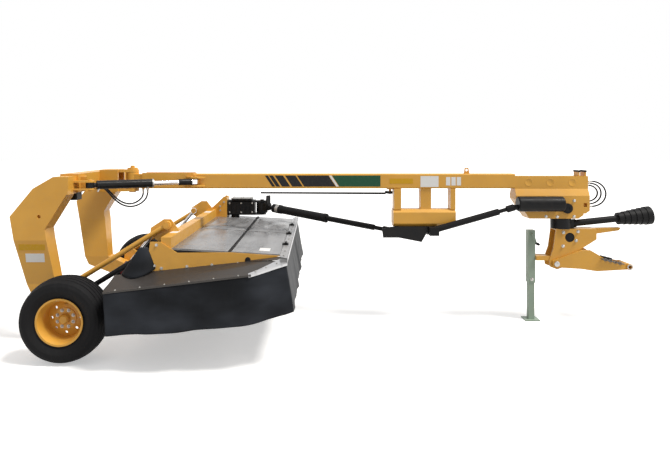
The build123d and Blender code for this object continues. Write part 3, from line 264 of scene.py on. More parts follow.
# Deck vinyl: its dark and light tones are the two ends of the painted reflection streaks.
VINYL = vinyl("deck_vinyl", (0.10, 0.10, 0.105), (0.27, 0.27, 0.275))
HOSE = rubber("hose_rubber", (0.008, 0.008, 0.009), 0.48, 1500.0, 0.3)
PLASTIC = rubber("shield_plastic", (0.012, 0.012, 0.013), 0.45, 1300.0, 0.35)
CHROME = metal("chrome", (0.78, 0.78, 0.79), 0.08, (1, 1, 1), 0.05)
STEEL = metal("worn_steel", (0.42, 0.41, 0.40), 0.34, (1, 14, 1), 0.6)
DARK_STEEL = metal("dark_steel", (0.14, 0.135, 0.13), 0.45, (1, 1, 1), 0.5)
ZINC = metal("zinc_plate", (0.46, 0.45, 0.43), 0.42, (1, 1, 1), 0.4)
ALUMINIUM = metal("edge_aluminium", (0.52, 0.52, 0.53), 0.42, (14, 1, 1), 0.4)
GREY_LID = paint("grey_lid", rgb(0.36, 0.36, 0.35), rgb(0.29, 0.29, 0.285), 0.4)
RED = paint("red_lock", rgb(0.42, 0.02, 0.025), rgb(0.33, 0.015, 0.02), 0.4)
WHITE_FILM = flat_print("white_film", (0.84, 0.84, 0.83))
BLACK_FILM = flat_print("black_film", (0.012, 0.012, 0.013), 0.32)
GREEN_FILM = flat_print("green_film", (0.012, 0.080, 0.040), 0.32)
AMBER = flat_print("amber_reflector", (0.66, 0.36, 0.012), 0.22)

# Finishes of the solids that stay in view
LOOKS = {
    YELLOW: ("wheel_right", "wheel_left", "legs", "toe_plates", "cross_beam", "pivot_nose", "swing_anchor",
             "tongue_beam", "mid_bracket", "tongue_head", "header_beam", "side_plates", "upper_links",
             "hitch_yoke", "drawbar", "bar_supports"),
    BLACK: ("control_box", "swing_barrel", "lift_barrels", "gearbox", "gear_swivel", "joint_yoke",
            "canister", "hitch_gearbox", "rod_clevis", "drive_column", "joint_guard", "steering_rod",
            "lower_links"),
    PLASTIC: ("front_driveline", "drive_tube", "drive_shaft", "drive_tip", "pto_shield"),
    CHROME: ("swing_rod", "lift_rods"),
    STEEL: ("cutter_bar", "pto_shaft", *(f"disc_{n}" for n in range(1, 8))),
    JACK_GREEN: ("jack_tube", "jack_leg"),
    VINYL: ("deck",),
    SHELF: ("shelves",),
}


EDGE_ROUND = 0.003


def dress(node, material):
    """Give a solid its finish and a small round on its square edges."""
    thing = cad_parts[node]
    thing.data.materials.clear()
    thing.data.materials.append(material)
    round_off = thing.modifiers.new("edge", "BEVEL")
    round_off.width = EDGE_ROUND
    round_off.segments = 2
    round_off.limit_method = "ANGLE"
    round_off.angle_limit = math.radians(50)
    round_off.harden_normals = True


def thicken(piece, thickness, offset):
    """Give a sheet its thickness: offset 0 is to both sides, -1 to the back."""
    solid = piece.modifiers.new("thickness", "SOLIDIFY")
    solid.thickness = thickness
    solid.offset = offset


def new_piece(name, mesh, material, body, smooth=30):
    """Link a bmesh as a piece that rides on a body, if one is given; smooth is an angle in degrees."""
    data = bpy.data.meshes.new(name)
    bmesh.ops.recalc_face_normals(mesh, faces=mesh.faces)
    mesh.to_mesh(data)
    mesh.free()
    piece = bpy.data.objects.new(name, data)
    bpy.context.collection.objects.link(piece)
    data.materials.append(material)
    if smooth:
        data.shade_smooth()
        data.set_sharp_from_angle(angle=math.radians(smooth))
    if body:
        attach(piece, body)
    return piece


def revolve(mesh, profile, centre, steps):
    """Sweep a closed profile of (radius, place) points round a cross axis through a point in metres."""
    rings = []
    for k in range(steps):
        angle = 2 * math.pi * k / steps
        c, s = math.cos(angle), math.sin(angle)
        ring = []
        for radius, place in profile:
            ring.append(mesh.verts.new(centre + Vector((radius * c, place, radius * s))))
        rings.append(ring)
    count = len(profile)
    for a, b in zip(rings, rings[1:] + rings[:1]):
        for i in range(count):
            j = (i + 1) % count
            mesh.faces.new((a[i], a[j], b[j], b[i]))


def turned(mesh, profile, start, direction, steps, capped=True):
    """Sweep (distance, radius) points round a line; flat ends are closed if capped."""
    axis = Vector(direction).normalized()
    side = axis.orthogonal().normalized()
    other = axis.cross(side)
    rings = []
    for distance, radius in profile:
        ring = []
        for k in range(steps):
            angle = 2 * math.pi * k / steps
            ring.append(mesh.verts.new(Vector(start) + axis * distance
                                       + (side * math.cos(angle) + other * math.sin(angle)) * radius))
        rings.append(ring)
    for a, b in zip(rings, rings[1:]):
        for k in range(steps):
            j = (k + 1) % steps
            mesh.faces.new((a[k], a[j], b[j], b[k]))
    if capped:
        mesh.faces.new(rings[0])
        mesh.faces.new(rings[-1][::-1])


def sleeve(mesh, outside, bore, start, direction, steps=40):
    """A tube with an outside of (distance, radius) points and a plain bore."""
    loop = [(outside[0][0], bore), *outside, (outside[-1][0], bore), (outside[0][0], bore)]
    turned(mesh, loop, start, direction, steps, capped=False)
    bmesh.ops.remove_doubles(mesh, verts=mesh.verts, dist=1e-6)


def level_plate(x0, x1, y0, y1, z):
    """Corners of a level rectangle, given in millimetres."""
    return [at(x0, y0, z), at(x1, y0, z), at(x1, y1, z), at(x0, y1, z)]


def grid_faces(mesh, grid):
    """Join the rows of a grid of vertices with faces."""
    for a, b in zip(grid, grid[1:]):
        for k in range(len(a) - 1):
            mesh.faces.new((a[k], a[k + 1], b[k + 1], b[k]))


def prism(mesh, outline, depth):
    """A plate from a flat outline of points in metres, raised by a vector."""
    low = [mesh.verts.new(Vector(p)) for p in outline]
    high = [mesh.verts.new(Vector(p) + Vector(depth)) for p in outline]
    mesh.faces.new(low)
    mesh.faces.new(high[::-1])
    count = len(outline)
    for i in range(count):
        j = (i + 1) % count
        mesh.faces.new((low[i], low[j], high[j], high[i]))


def bolt(mesh, place, normal, size):
    """A washer and a hexagon head with a crown, standing off a face; size is in millimetres."""
    unit = size / 1000
    turned(mesh, [(0, unit * 0.72), (unit * 0.14, unit * 0.72)], place, normal, 20)
    base = Vector(place) + Vector(normal).normalized() * unit * 0.14
    turned(mesh, [(0, unit * 0.57), (unit * 0.42, unit * 0.57), (unit * 0.5, unit * 0.48)], base, normal, 6)


def bolts(name, body, rows):
    """All the bolts of one body: place in millimetres, normal, size."""
    mesh = bmesh.new()
    for place, normal, size in rows:
        bolt(mesh, at(*place), normal, size)
    new_piece(name, mesh, ZINC, body)


def film(name, body, outlines, normal, material, lift=0.8):
    """Thin printed pieces on a flat face: outlines in millimetres."""
    mesh = bmesh.new()
    depth = Vector(normal).normalized() * lift / 1000
    for outline in outlines:
        prism(mesh, [at(*p) for p in outline], depth)
    new_piece(name, mesh, material, body, 0)


def both_sides(rows):
    """Each row and its mirror image across the middle plane."""
    flip = [((x, -y, z), (a, -b, c), size) for (x, y, z), (a, b, c), size in rows]
    return list(rows) + flip


def hose_curve(name, points):
    """A smooth spline with a hose's route as its control points."""
    curve = bpy.data.curves.new(name, "CURVE")
    curve.dimensions = "3D"
    spline = curve.splines.new("NURBS")
    spline.points.add(len(points) - 1)
    for spot, place in zip(spline.points, points):
        spot.co = (*at(*place), 1)
    spline.order_u = 3
    spline.use_endpoint_u = True
    return curve


def hose_line(points):
    """Even points along a hose, eight to a run, picked from many on its smooth spline."""
    per_run, fine = 8, 1024
    curve = hose_curve("hose_route", points)
    curve.resolution_u = fine
    route = bpy.data.objects.new("hose_route", curve)
    read = bpy.data.meshes.new_from_object(route)
    last = len(read.vertices) - 1
    steps = per_run * (len(points) - 2)
    line = [read.vertices[round(last * k / steps)].co.copy() for k in range(steps + 1)]
    bpy.data.objects.remove(route)
    bpy.data.curves.remove(curve)
    bpy.data.meshes.remove(read)
    return line


def line_length(line):
    """Length along a line of points."""
    return sum((b - a).length for a, b in zip(line, line[1:]))


def tube_along(mesh, line, radius, steps=14):
    """A round tube along a line, with closed ends."""
    rings = []
    side = None
    for i, spot in enumerate(line):
        ahead = (line[min(i + 1, len(line) - 1)] - line[max(i - 1, 0)]).normalized()
        side = ahead.orthogonal() if side is None else side - ahead * side.dot(ahead)
        side.normalize()
        other = ahead.cross(side)
        ring = []
        for k in range(steps):
            angle = 2 * math.pi * k / steps
            ring.append(mesh.verts.new(spot + (side * math.cos(angle) + other * math.sin(angle)) * radius))
        rings.append(ring)
    for a, b in zip(rings, rings[1:]):
        for k in range(steps):
            j = (k + 1) % steps
            mesh.faces.new((a[k], a[j], b[j], b[k]))
    mesh.faces.new(rings[0][::-1])
    mesh.faces.new(rings[-1])


def head_hose(number, points):
    """A hose from the tongue's head round in a loop back to it."""
    curve = hose_curve(f"head_loop_{number}", points)
    curve.bevel_depth = HOSE_R / 1000
    curve.bevel_resolution = 4
    curve.resolution_u = 10
    curve.materials.append(HOSE)
    piece = bpy.data.objects.new(f"head_loop_{number}", curve)
    bpy.context.collection.objects.link(piece)
    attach(piece, "tongue")
    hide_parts(f"head_hose_{number}")
    at(*points[0])
    line_length(hose_line(points))


def pivot_hose(number, points):
    """A hose from the cross beam under the tongue's pivot to the tongue."""
    line = hose_line(points)
    mesh = bmesh.new()
    tube_along(mesh, line, HOSE_R / 1000)
    piece = new_piece(f"pivot_loop_{number}", mesh, HOSE, None, 60)
    at(20, -230, 1500)
    at(350, -40, 1460)
    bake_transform(piece)
    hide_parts(f"pivot_hose_{number}")
    at(*points[0])
    line_length(line)


def hoses():
    """All the hose loops and the crimped ferrules at their ends."""
    for number, points in enumerate(HEAD_HOSES, 1):
        head_hose(number, points)
    for number, points in enumerate(PIVOT_HOSES, 1):
        pivot_hose(number, points)
    starts, ends = (0, 1), (-1, -2)
    for name, body, routes, held in (("tongue_ferrules", "tongue", HEAD_HOSES, (starts, ends)),
                                     ("frame_ferrules", "frame", PIVOT_HOSES, (starts,)),
                                     ("tongue_pivot_ferrules", "tongue", PIVOT_HOSES, (ends,))):
        mesh = bmesh.new()
        for route in routes:
            for end, toward in held:
                ferrule(mesh, route[end], route[toward])
        new_piece(name, mesh, ZINC, body)


def ferrule(mesh, end, toward):
    """A crimped sleeve over a hose's end, with a hexagon nut behind it."""
    run = (at(*toward) - at(*end)).normalized()
    radius = HOSE_R / 1000 + 0.0025
    rows = [(0.0, radius * 0.9)]
    for k in range(4):
        crimp = 0.007 * k
        rows += [(0.004 + crimp, radius), (0.0065 + crimp, radius), (0.009 + crimp, radius - 0.0012)]
    turned(mesh, rows, at(*end), run, 20)
    turned(mesh, [(-0.012, radius * 1.35), (-0.001, radius * 1.35)], at(*end), run, 6)


def tyre(name):
    """A rib tyre: straight circumferential ribs, ridged shoulders, ringed sidewalls."""
    low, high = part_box(f"tyre_{name}")
    middle = (low[1] + high[1]) / 2
    outer = (high[2] - low[2]) / 2
    half = (high[1] - low[1]) / 2
    bead = 0.2085
    shoulder = outer - 0.034
    edge = half - 0.016
    crown = [(-edge, shoulder), (-0.125, outer - 0.019)]
    groove_wide, groove_narrow, groove_deep = 0.0085, 0.0045, 0.012
    for y in (-0.104, -0.063, -0.021, 0.021, 0.063, 0.104):
        top = outer - 0.034 * (y / edge) ** 2
        crown += [(y - groove_wide, top), (y - groove_narrow, top - groove_deep),
                  (y + groove_narrow, top - groove_deep), (y + groove_wide, top)]
    crown += [(0.125, outer - 0.019), (edge, shoulder)]
    wall = []
    wall_steps = 16
    for k in range(1, wall_steps):
        t = k / wall_steps
        radius = shoulder - t * (shoulder - bead - 0.014)
        bulge = edge + 0.016 * math.sin(math.pi * min(1.0, t * 1.25)) - 0.022 * max(0.0, t - 0.6) / 0.4
        ring = 0.0026 if k in (3, 4, 8, 12, 13) else 0.0
        wall.append((bulge + ring, radius))
    profile = [(r, y) for y, r in crown]
    profile += [(r, y) for y, r in wall]
    profile += [(bead + 0.012, half - 0.037), (bead, half - 0.040)]
    profile += [(bead, -half + 0.040), (bead + 0.012, -half + 0.037)]
    profile += [(r, -y) for y, r in reversed(wall)]
    mesh = bmesh.new()
    centre = Vector((AXLE, middle, (low[2] + high[2]) / 2))
    revolve(mesh, profile, centre, 128)
    # Shoulder ridges on both sides
    ridges, ridge_long = 72, 0.03
    for k in range(ridges):
        angle = 2 * math.pi * k / ridges
        ahead = Vector((math.cos(angle), 0, math.sin(angle)))
        across = Vector((-math.sin(angle), 0, math.cos(angle)))
        for face in (-1, 1):
            root = centre + ahead * (outer - 0.041) + Vector((0, face * (half - 0.0155), 0))
            tip = root - ahead * ridge_long + Vector((0, face * 0.009, 0))
            outline = [root - across * 0.006, root + across * 0.006,
                       tip + across * 0.004, tip - across * 0.004]
            prism(mesh, outline, Vector((0, -face * 0.006, 0)))
    piece = new_piece(f"rib_tyre_{name}", mesh, TYRE, f"{name}_wheel")
    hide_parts(f"tyre_{name}")


def wheel_fittings(side, name):
    """Wheel nuts on studs, and a valve."""
    centre = Vector((AXLE, side * 1.242, 0.3935))
    face = side * 1.2535
    nuts, stud_circle, nut_size = 8, 0.079, 22
    mesh = bmesh.new()
    for k in range(nuts):
        angle = 2 * math.pi * (k + 0.5) / nuts
        spot = centre + Vector((stud_circle * math.cos(angle), 0, stud_circle * math.sin(angle)))
        spot.y = face
        bolt(mesh, spot, (0, side, 0), nut_size)
        turned(mesh, [(0.008, 0.006), (0.022, 0.006), (0.024, 0.0045)], spot, (0, side, 0), 12)
    new_piece(f"wheel_nuts_{name}", mesh, ZINC, f"{name}_wheel")
    mesh = bmesh.new()
    spot = centre + Vector((0.165, 0, 0.03))
    spot.y = face - side * 0.004
    turned(mesh, [(0, 0.008), (0.012, 0.006), (0.04, 0.0045), (0.041, 0.006), (0.052, 0.006)], spot,
           (0.25, side, 0), 14)
    new_piece(f"valve_{name}", mesh, PLASTIC, f"{name}_wheel")


def bent_line(points, count, soft=0.12):
    """Evenly spaced points along a line of points in millimetres, with its inner corners rounded."""
    spots = [at(*p) for p in points]
    dense = [spots[0]]
    for before, here, after in zip(spots, spots[1:], spots[2:]):
        a = here + (before - here).normalized() * soft
        b = here + (after - here).normalized() * soft
        for k in range(13):
            t = k / 12
            dense.append(a * (1 - t) ** 2 + here * 2 * t * (1 - t) + b * t * t)
    dense.append(spots[-1])
    reach = [0.0]
    for a, b in zip(dense, dense[1:]):
        reach.append(reach[-1] + (b - a).length)
    line = []
    i = 0
    for k in range(count + 1):
        along = reach[-1] * k / count
        while i < len(dense) - 2 and reach[i + 1] < along:
            i += 1
        line.append(dense[i].lerp(dense[i + 1], (along - reach[i]) / (reach[i + 1] - reach[i])))
    return line


# Curtains bulge outward; their inward folds are shallower, to stay off the discs
INWARD_FOLD = 0.4
HEADER_MIDDLE = (1250, 0, 600)


def hanging(name, top, foot, size, folds, look, node):
    """A curtain from its top line to its foot.

    Each fold has a height in millimetres, waves along and down the sheet, and a phase.
    """
    columns, rows = size
    head, hem = bent_line(top, columns), bent_line(foot, columns)
    width = line_length(head)
    mesh = bmesh.new()
    grid = []
    for r in range(rows + 1):
        v = r / rows
        line = []
        for c in range(columns + 1):
            u = c / columns
            ahead = head[min(c + 1, columns)] - head[max(c - 1, 0)]
            out = ahead.cross(head[c] - hem[c]).normalized()
            if out.dot(head[c] - at(*HEADER_MIDDLE)) < 0:
                out = -out
            swell = 0.0
            for height, along, down, phase in folds:
                swell += height * math.sin(2 * math.pi * (along * width * u + down * v) + phase)
            swell = max(swell, INWARD_FOLD * swell)
            held = min(1.0, 12 * u, 12 * (1 - u)) * v ** 0.7
            line.append(mesh.verts.new(head[c].lerp(hem[c], v) + out * held * swell / 1000))
        grid.append(line)
    grid_faces(mesh, grid)
    piece = new_piece(name, mesh, look, "header", 180)
    thicken(piece, 0.004, 0)
    if node:
        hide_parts(node)
    flat = (max(width, line_length(hem)), max((a - b).length for a, b in zip(head, hem)))


def curtains():
    """End curtains round the front corners, flaps at the rear corners, and the front and rear curtains."""
    broad = [(30, 0.75, 0.8, 0.2), (16, 1.7, -0.9, 1.9), (7, 3.3, 0.5, 4.2)]
    pleats = [(10, 1.1, 0.2, 0.7), (8, 2.3, -0.3, 2.0), (3, 4.9, 0.1, 5.0)]
    rear = 479.5
    end_plane = 1596
    for side, name in SIDES:
        y = side * end_plane
        top = ((477, y, 708), (1762, y, 860), (2061, side * 1457, 938))
        foot = ((500, y, 338), (1762, y, 430), (2128, side * 1426, 506))
        hanging(f"end_curtain_{name}", top, foot, (130, 34), broad, CURTAIN, "end_curtains")
        top = ((rear, side * 1288, 793), (rear, side * 1594, 711))
        foot = ((rear, side * 1288, 346), (499, side * 1595, 338))
        hanging(f"rear_flap_{name}", top, foot, (14, 16), pleats, CURTAIN, None)
    top = ((2060, -1448, 937), (2060, 1448, 937))
    foot = ((2130, -1420, 511), (2130, 1420, 511))
    hanging("front_curtain_sheet", top, foot, (150, 26), pleats, SUNLIT_CURTAIN, "front_curtain")
    top = ((rear, -1286, 704), (rear, 1286, 704))
    foot = ((rear, -1286, 346), (rear, 1286, 346))
    hanging("rear_curtain_sheet", top, foot, (120, 22), pleats, CURTAIN, "rear_curtain")


def tongue_prints():
    """Slanted stripes, a slash, a green field, a reflector and blank films on both sides of the tongue."""
    low, high = 1531, 1656
    lean = 83
    beam_side = 75.2
    stripes = ((1742, 1777), (1789, 1834), (1854, 1948), (1971, 2090), (2107, 2465))
    for side, name in SIDES:
        y = side * beam_side

        def slanted(start, end):
            return [(start, y, high), (end, y, high), (end + lean, y, low), (start + lean, y, low)]

        def field(x0, x1, z0, z1):
            return [(x0, y, z0), (x1, y, z0), (x1, y, z1), (x0, y, z1)]

        normal = (0, side, 0)
        film(f"tongue_stripes_{name}", "tongue", [slanted(*s) for s in stripes], normal, BLACK_FILM)
        film(f"tongue_slash_{name}", "tongue", [slanted(2471, 2499)], normal, WHITE_FILM)
        green = [(2505, y, high), (3056, y, high), (3056, y, low), (2505 + lean, y, low)]
        film(f"tongue_green_{name}", "tongue", [green], normal, GREEN_FILM)
        film(f"tongue_reflector_{name}", "tongue", [field(3159, 3426, 1563, 1622)], normal, AMBER, 1.6)
        blanks = [field(3511, 3716, 1526, 1650)]
        blanks += [field(x0, x1, 1543, 1639) for x0, x1 in ((3801, 3850), (3862, 3911), (3923, 3971))]
        film(f"tongue_blanks_{name}", "tongue", blanks, normal, WHITE_FILM)


def leg_prints():
    """Reflector strip and blank film on the outer face of each lower leg, which leans inward."""
    knee_y, knee_z = 882.4, 1054
    inward, tall = 82, 454
    for side, name in SIDES:
        def lower_face(x0, x1, z0, z1):
            rows = []
            for x, z in ((x0, z0), (x1, z0), (x1, z1), (x0, z1)):
                rows.append((x, side * (knee_y - inward * (knee_z - z) / tall), z))
            return rows

        normal = (0, side, -inward / tall)
        film(f"leg_reflector_{name}", "frame", [lower_face(-637, -375, 953, 1014)], normal, AMBER, 1.6)
        film(f"leg_blank_{name}", "frame", [lower_face(-577, -389, 830, 919)], normal, WHITE_FILM)


# Outer faces of the side plates, from the middle
PLATE_FACE = 1300


def fasteners():
    """Bolts on both sides of the side plates, the head and the hitch."""
    plate_spots = ((905, 868), (1140, 884), (1370, 898), (1609, 912), (859, 1082))
    head_spots = ((5243, 1374), (5051, 1191), (5240, 1195), (4923, 1195))
    hitch_spots = ((5133, 1010), (5298, 1020), (5128, 856), (5276, 918))
    for name, body, face, spots, size in (("header_bolts", "header", PLATE_FACE, plate_spots, 20),
                                          ("head_bolts", "tongue", 110, head_spots, 24),
                                          ("hitch_bolts", "hitch", 82, hitch_spots, 26)):
        near = [((x, -face, z), (0, -1, 0), size) for x, z in spots]
        bolts(name, body, both_sides(near))


def head_trim():
    """A black cover over the head's side cap, and edges on the hose ears."""
    mesh = bmesh.new()
    turned(mesh, [(0, 0.0575), (0.0265, 0.0575), (0.0285, 0.053), (0.0285, 0.02), (0.0265, 0.018)],
           at(5160, -110.2, 1288), (0, -1, 0), 40)
    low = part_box("tongue_head")[1][2] * 1000 - 16
    for x in (5320, 5395):
        prism(mesh, level_plate(x - 12, x + 12, -63, 63, low), (0, 0, 0.02))
    new_piece("head_covers", mesh, PLASTIC, "tongue")


def plug_welds():
    """Three ground plug welds on each side of the head."""
    for side, name in SIDES:
        mesh = bmesh.new()
        for x in (4743, 4988, 5238):
            turned(mesh, [(0, 0.045), (0.0016, 0.044), (0.0016, 0.037), (0.0006, 0.035)],
                   at(x, side * 70, 1579), (0, side, 0), 40)
        new_piece(f"plug_welds_{name}", mesh, YELLOW, "tongue")


# Rear and front edge of the deck's top: place along the mower and height
DECK_REAR = (990, 1046)
DECK_FRONT = (2070, 984)
HINGE_X = 1528


def deck_height(x):
    """Height of the deck's top at a place along the mower."""
    t = (x - DECK_REAR[0]) / (DECK_FRONT[0] - DECK_REAR[0])
    return DECK_REAR[1] + t * (DECK_FRONT[1] - DECK_REAR[1])


def cover(name, x0, x1, y0, y1, wrinkle, seed):
    """One vinyl cover laid on the deck, with slack wrinkles that fade towards its edges."""
    chance = random.Random(seed)
    waves = [(chance.uniform(-1, 1), chance.uniform(-1, 1), chance.uniform(2, 7), chance.uniform(0, 6.3))
             for _ in range(7)]
    columns, rows = 60, 72
    least, usual = 2.6, 3.2
    slack = 1.004
    mesh = bmesh.new()
    grid = []
    for r in range(rows + 1):
        line = []
        for c in range(columns + 1):
            u, v = c / columns, r / rows
            x = x0 + (x1 - x0) * u
            y = y0 + (y1 - y0) * v
            edge = min(1.0, 9 * u, 9 * (1 - u), 12 * v, 12 * (1 - v))
            rise = 0.0
            for a, b, rate, phase in waves:
                rise += math.sin(rate * (a * u + b * v) * 3.1 + phase)
            crease = math.exp(-((v - 0.12 - 0.05 * math.sin(6 * u)) / 0.03) ** 2)
            lift = usual + wrinkle * edge * (1.0 + 0.30 * rise + 0.8 * crease)
            line.append(mesh.verts.new(at(x, y, deck_height(x) + max(least, lift))))
        grid.append(line)
    grid_faces(mesh, grid)
    piece = new_piece(name, mesh, VINYL, "header", 180)
    thicken(piece, 0.002, -1)
    area = sum(face.area for face in piece.data.polygons)
    flat = ((x1 - x0) / 1000 * slack, (y1 - y0) / 1000 * slack)
    min(area, flat[0] * flat[1])


def deck_covers():
    """Four covers about a hinge line and a middle seam; hinge strips, front edge, latches and a film."""
    half = 1284
    for name, y0, y1, wrinkle, seed in (("near", -half, -6, 2.0, 3), ("far", 6, 1055, 9.0, 5)):
        cover(f"cover_front_{name}", HINGE_X + 12, 1994, y0, y1, wrinkle, seed)
        cover(f"cover_rear_{name}", 1010, HINGE_X - 12, y0, y1, wrinkle, seed + 1)
    mesh = bmesh.new()
    for x in (HINGE_X - 12, HINGE_X + 2):
        prism(mesh, level_plate(x, x + 10, -half, half, deck_height(x) + 5), (0, 0, 0.004))
    new_piece("cover_hinge_strips", mesh, PLASTIC, "header")
    mesh = bmesh.new()
    front = 1450
    z = deck_height(2034) + 2
    prism(mesh, [at(2000, -1390, z + 2), at(2068, -front + 4, z - 1),
                 at(2068, front - 4, z - 1), at(2000, 1390, z + 2)], (0, 0, 0.003))
    prism(mesh, [at(2071, -front + 6, z - 40), at(2071, front - 6, z - 40),
                 at(2071, front - 6, z + 1), at(2071, -front + 6, z + 1)], (0.002, 0, 0))
    new_piece("front_edge_strip", mesh, ALUMINIUM, "header")
    rows = [((2034, y, z + 5), (0, 0, 1), 13) for y in range(-1350, 1351, 225)]
    bolts("front_edge_bolts", "header", rows)
    mesh = bmesh.new()
    for y in (-760, -80, 620):
        prism(mesh, level_plate(1985, 2046, y - 26, y + 26, z + 4), (0, 0, 0.016))
        turned(mesh, [(0, 0.011), (0.07, 0.011)], at(2020, y - 35, z + 24), (0, 1, 0), 16)
    new_piece("cover_latches", mesh, BLACK, "header")
    corners = ((1790, -1180), (1890, -1180), (1890, -1040), (1790, -1040))
    blank = [(x, y, deck_height(x) + 8) for x, y in corners]
    film("deck_blank_right", "header", [blank], (0, 0, 1), WHITE_FILM)


def shelf_trim():
    """Edges and corners of each end shelf, a strip over its cut corner, a flap, a black disc painted over a
    hole as its shade, and bolts.
    """
    edge = 1600
    wall = 1285
    for side, name in SIDES:
        def plate(mesh, corners, depth):
            prism(mesh, [at(x, side * y, z) for x, y, z in corners], depth)

        mesh = bmesh.new()
        plate(mesh, ((474, edge, 721), (1760, edge, 873), (1760, edge - 14, 877), (474, edge - 14, 725)),
              (0, 0, 0.003))
        front = edge + 0.4
        plate(mesh, ((474, front, 724), (1760, front, 876), (1760, front, 859), (474, front, 707)),
              (0, side * 0.002, 0))
        new_piece(f"shelf_edge_{name}", mesh, SHELF, "header")
        mesh = bmesh.new()
        outer = ((1744, 1602, 869), (1830, 1568, 888), (1980, 1502, 926), (2072, 1461, 946))
        inner = ((1736, 1578, 880), (1806, 1545, 900), (1930, 1455, 944), (2004, 1398, 974))
        edges = [[at(x, side * y, z) for x, y, z in row] for row in (outer, inner)]
        drop = Vector((0, 0, -0.018))
        for a, b, c, d in zip(edges[0], edges[0][1:], edges[1][1:], edges[1]):
            prism(mesh, [a, b, c, d], (0, 0, 0.003))
            prism(mesh, [a, b, b + drop, a + drop], (0.001, side * 0.002, 0))
        new_piece(f"shelf_strip_{name}", mesh, ALUMINIUM, "header")
        mesh = bmesh.new()
        beside = PLATE_FACE + 1.5
        plate(mesh, ((1674, beside, 932), (2009, beside, 976), (2009, 1421, 967)), (0, 0, 0.003))
        new_piece(f"shelf_corner_{name}", mesh, SHELF, "header", 0)
        mesh = bmesh.new()
        plate(mesh, ((992, wall, 1034), (1530, wall, 1003), (1530, wall, 960), (992, wall, 960)),
              (0, -side * 0.002, 0))
        new_piece(f"deck_edge_flap_{name}", mesh, CURTAIN, "header", 0)
        # A black disc over the side plate's hole: painted shade, standing for the dark inside of the hole.
        mesh = bmesh.new()
        turned(mesh, [(0, 0.026), (0.003, 0.026), (0.005, 0.022)], at(1700, side * PLATE_FACE, 945),
               (0, side, 0), 32)
        new_piece(f"hole_shade_disc_{name}", mesh, PLASTIC, "header")
        rows = []
        for k in range(6):
            t = (k + 0.5) / 6
            rows.append(((474 + 1286 * t, side * 1591, 725 + 152 * t), (0, 0, 1), 12))
        for t in (0.2, 0.5, 0.8):
            rows.append(((1740 + 297 * t, side * (1590 - 160 * t), 879 + 84 * t), (0, 0.35 * side, 1), 12))
        bolts(f"shelf_bolts_{name}", "header", rows)


def boots():
    """The rubber boot behind each side plate: half a cone from the plate's rear shoulder to the shelf."""
    apex = [(705, 1062), (775, 1066)]
    foot = [(540, 822), (850, 868)]
    steps, rows = 24, 12
    for side, name in SIDES:
        mesh = bmesh.new()
        grid = []
        for r in range(rows + 1):
            v = r / rows
            ends = [((1 - v) * p[0] + v * q[0], (1 - v) * p[1] + v * q[1]) for p, q in zip(apex, foot)]
            (xa, za), (xb, zb) = ends
            out = 14 + 96 * v ** 1.2
            line = []
            for k in range(steps + 1):
                t = k / steps
                bow = math.sin(math.pi * t) ** 0.7
                ridge = 1.5 * math.sin(18 * t) * v
                y = side * (PLATE_FACE + 1 + out * bow + ridge)
                z = za + (zb - za) * t - 46 * v * bow
                line.append(mesh.verts.new(at(xa + (xb - xa) * t, y, z)))
            grid.append(line)
        grid_faces(mesh, grid)
        piece = new_piece(f"side_boot_{name}", mesh, CURTAIN, "header", 60)
        thicken(piece, 0.005, 0)
        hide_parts("corner_flaps")
        spots = ((842, 892), (748, 1052))
        bolts(f"boot_bolt_{name}", "header",
              [((x, side * (PLATE_FACE + 3), z), (0, side, 0), 18) for x, z in spots])


def ports(mesh, start, run, places, toward, port):
    """Oil ports along a cylinder: a hexagon port and the end of a pipe at each place."""
    (low, high), radius, pipe_end = port
    for along in places:
        spot = start + run * along
        turned(mesh, [(low, radius), (high, radius)], spot, toward, 6)
        turned(mesh, [(0.05, 0.009), (pipe_end, 0.009)], spot, toward, 16)


def cylinder_trim():
    """Red stroke locks and ports on the lift cylinders; ports, gland and rod end on the swing cylinder."""
    for side, name in SIDES:
        a, b = at(150, side * 870, 430), at(730, side * 870, 1150)
        run = (b - a).normalized()
        mesh = bmesh.new()
        turned(mesh, [(0.385, 0.038), (0.387, 0.0435), (0.497, 0.0435), (0.499, 0.038)], a, run, 32)
        new_piece(f"lift_lock_{name}", mesh, RED, "lift_barrels")
        mesh = bmesh.new()
        ports(mesh, a, run, (0.09, 0.36), (-0.78, 0, 0.62), ((0.03, 0.052), 0.013, 0.068))
        new_piece(f"lift_ports_{name}", mesh, ZINC, "lift_barrels")
    a, b = at(6, -700, 1590), at(957, -128, 1590)
    run = (b - a).normalized()
    mesh = bmesh.new()
    ports(mesh, a, run, (0.10, 0.60), (-0.2, -0.5, -1), ((0.04, 0.055), 0.014, 0.075))
    turned(mesh, [(0.628, 0.047), (0.646, 0.047)], a, run, 32)
    new_piece("swing_ports", mesh, ZINC, "swing_barrel")
    mesh = bmesh.new()
    turned(mesh, [(0.92, 0.0335), (0.925, 0.0345), (1.065, 0.0345), (1.07, 0.0335)], a, run, 28)
    new_piece("swing_rod_end", mesh, BLACK, "swing_rod")


def header_prints():
    """Blank white films on the header beam's top."""
    top = 1150
    for y in (-1020, 640):
        blank = [(905, y, top), (980, y, top), (980, y + 130, top), (905, y + 130, top)]
        film(f"beam_blank_{abs(y)}", "header", [blank], (0, 0, 1), WHITE_FILM)


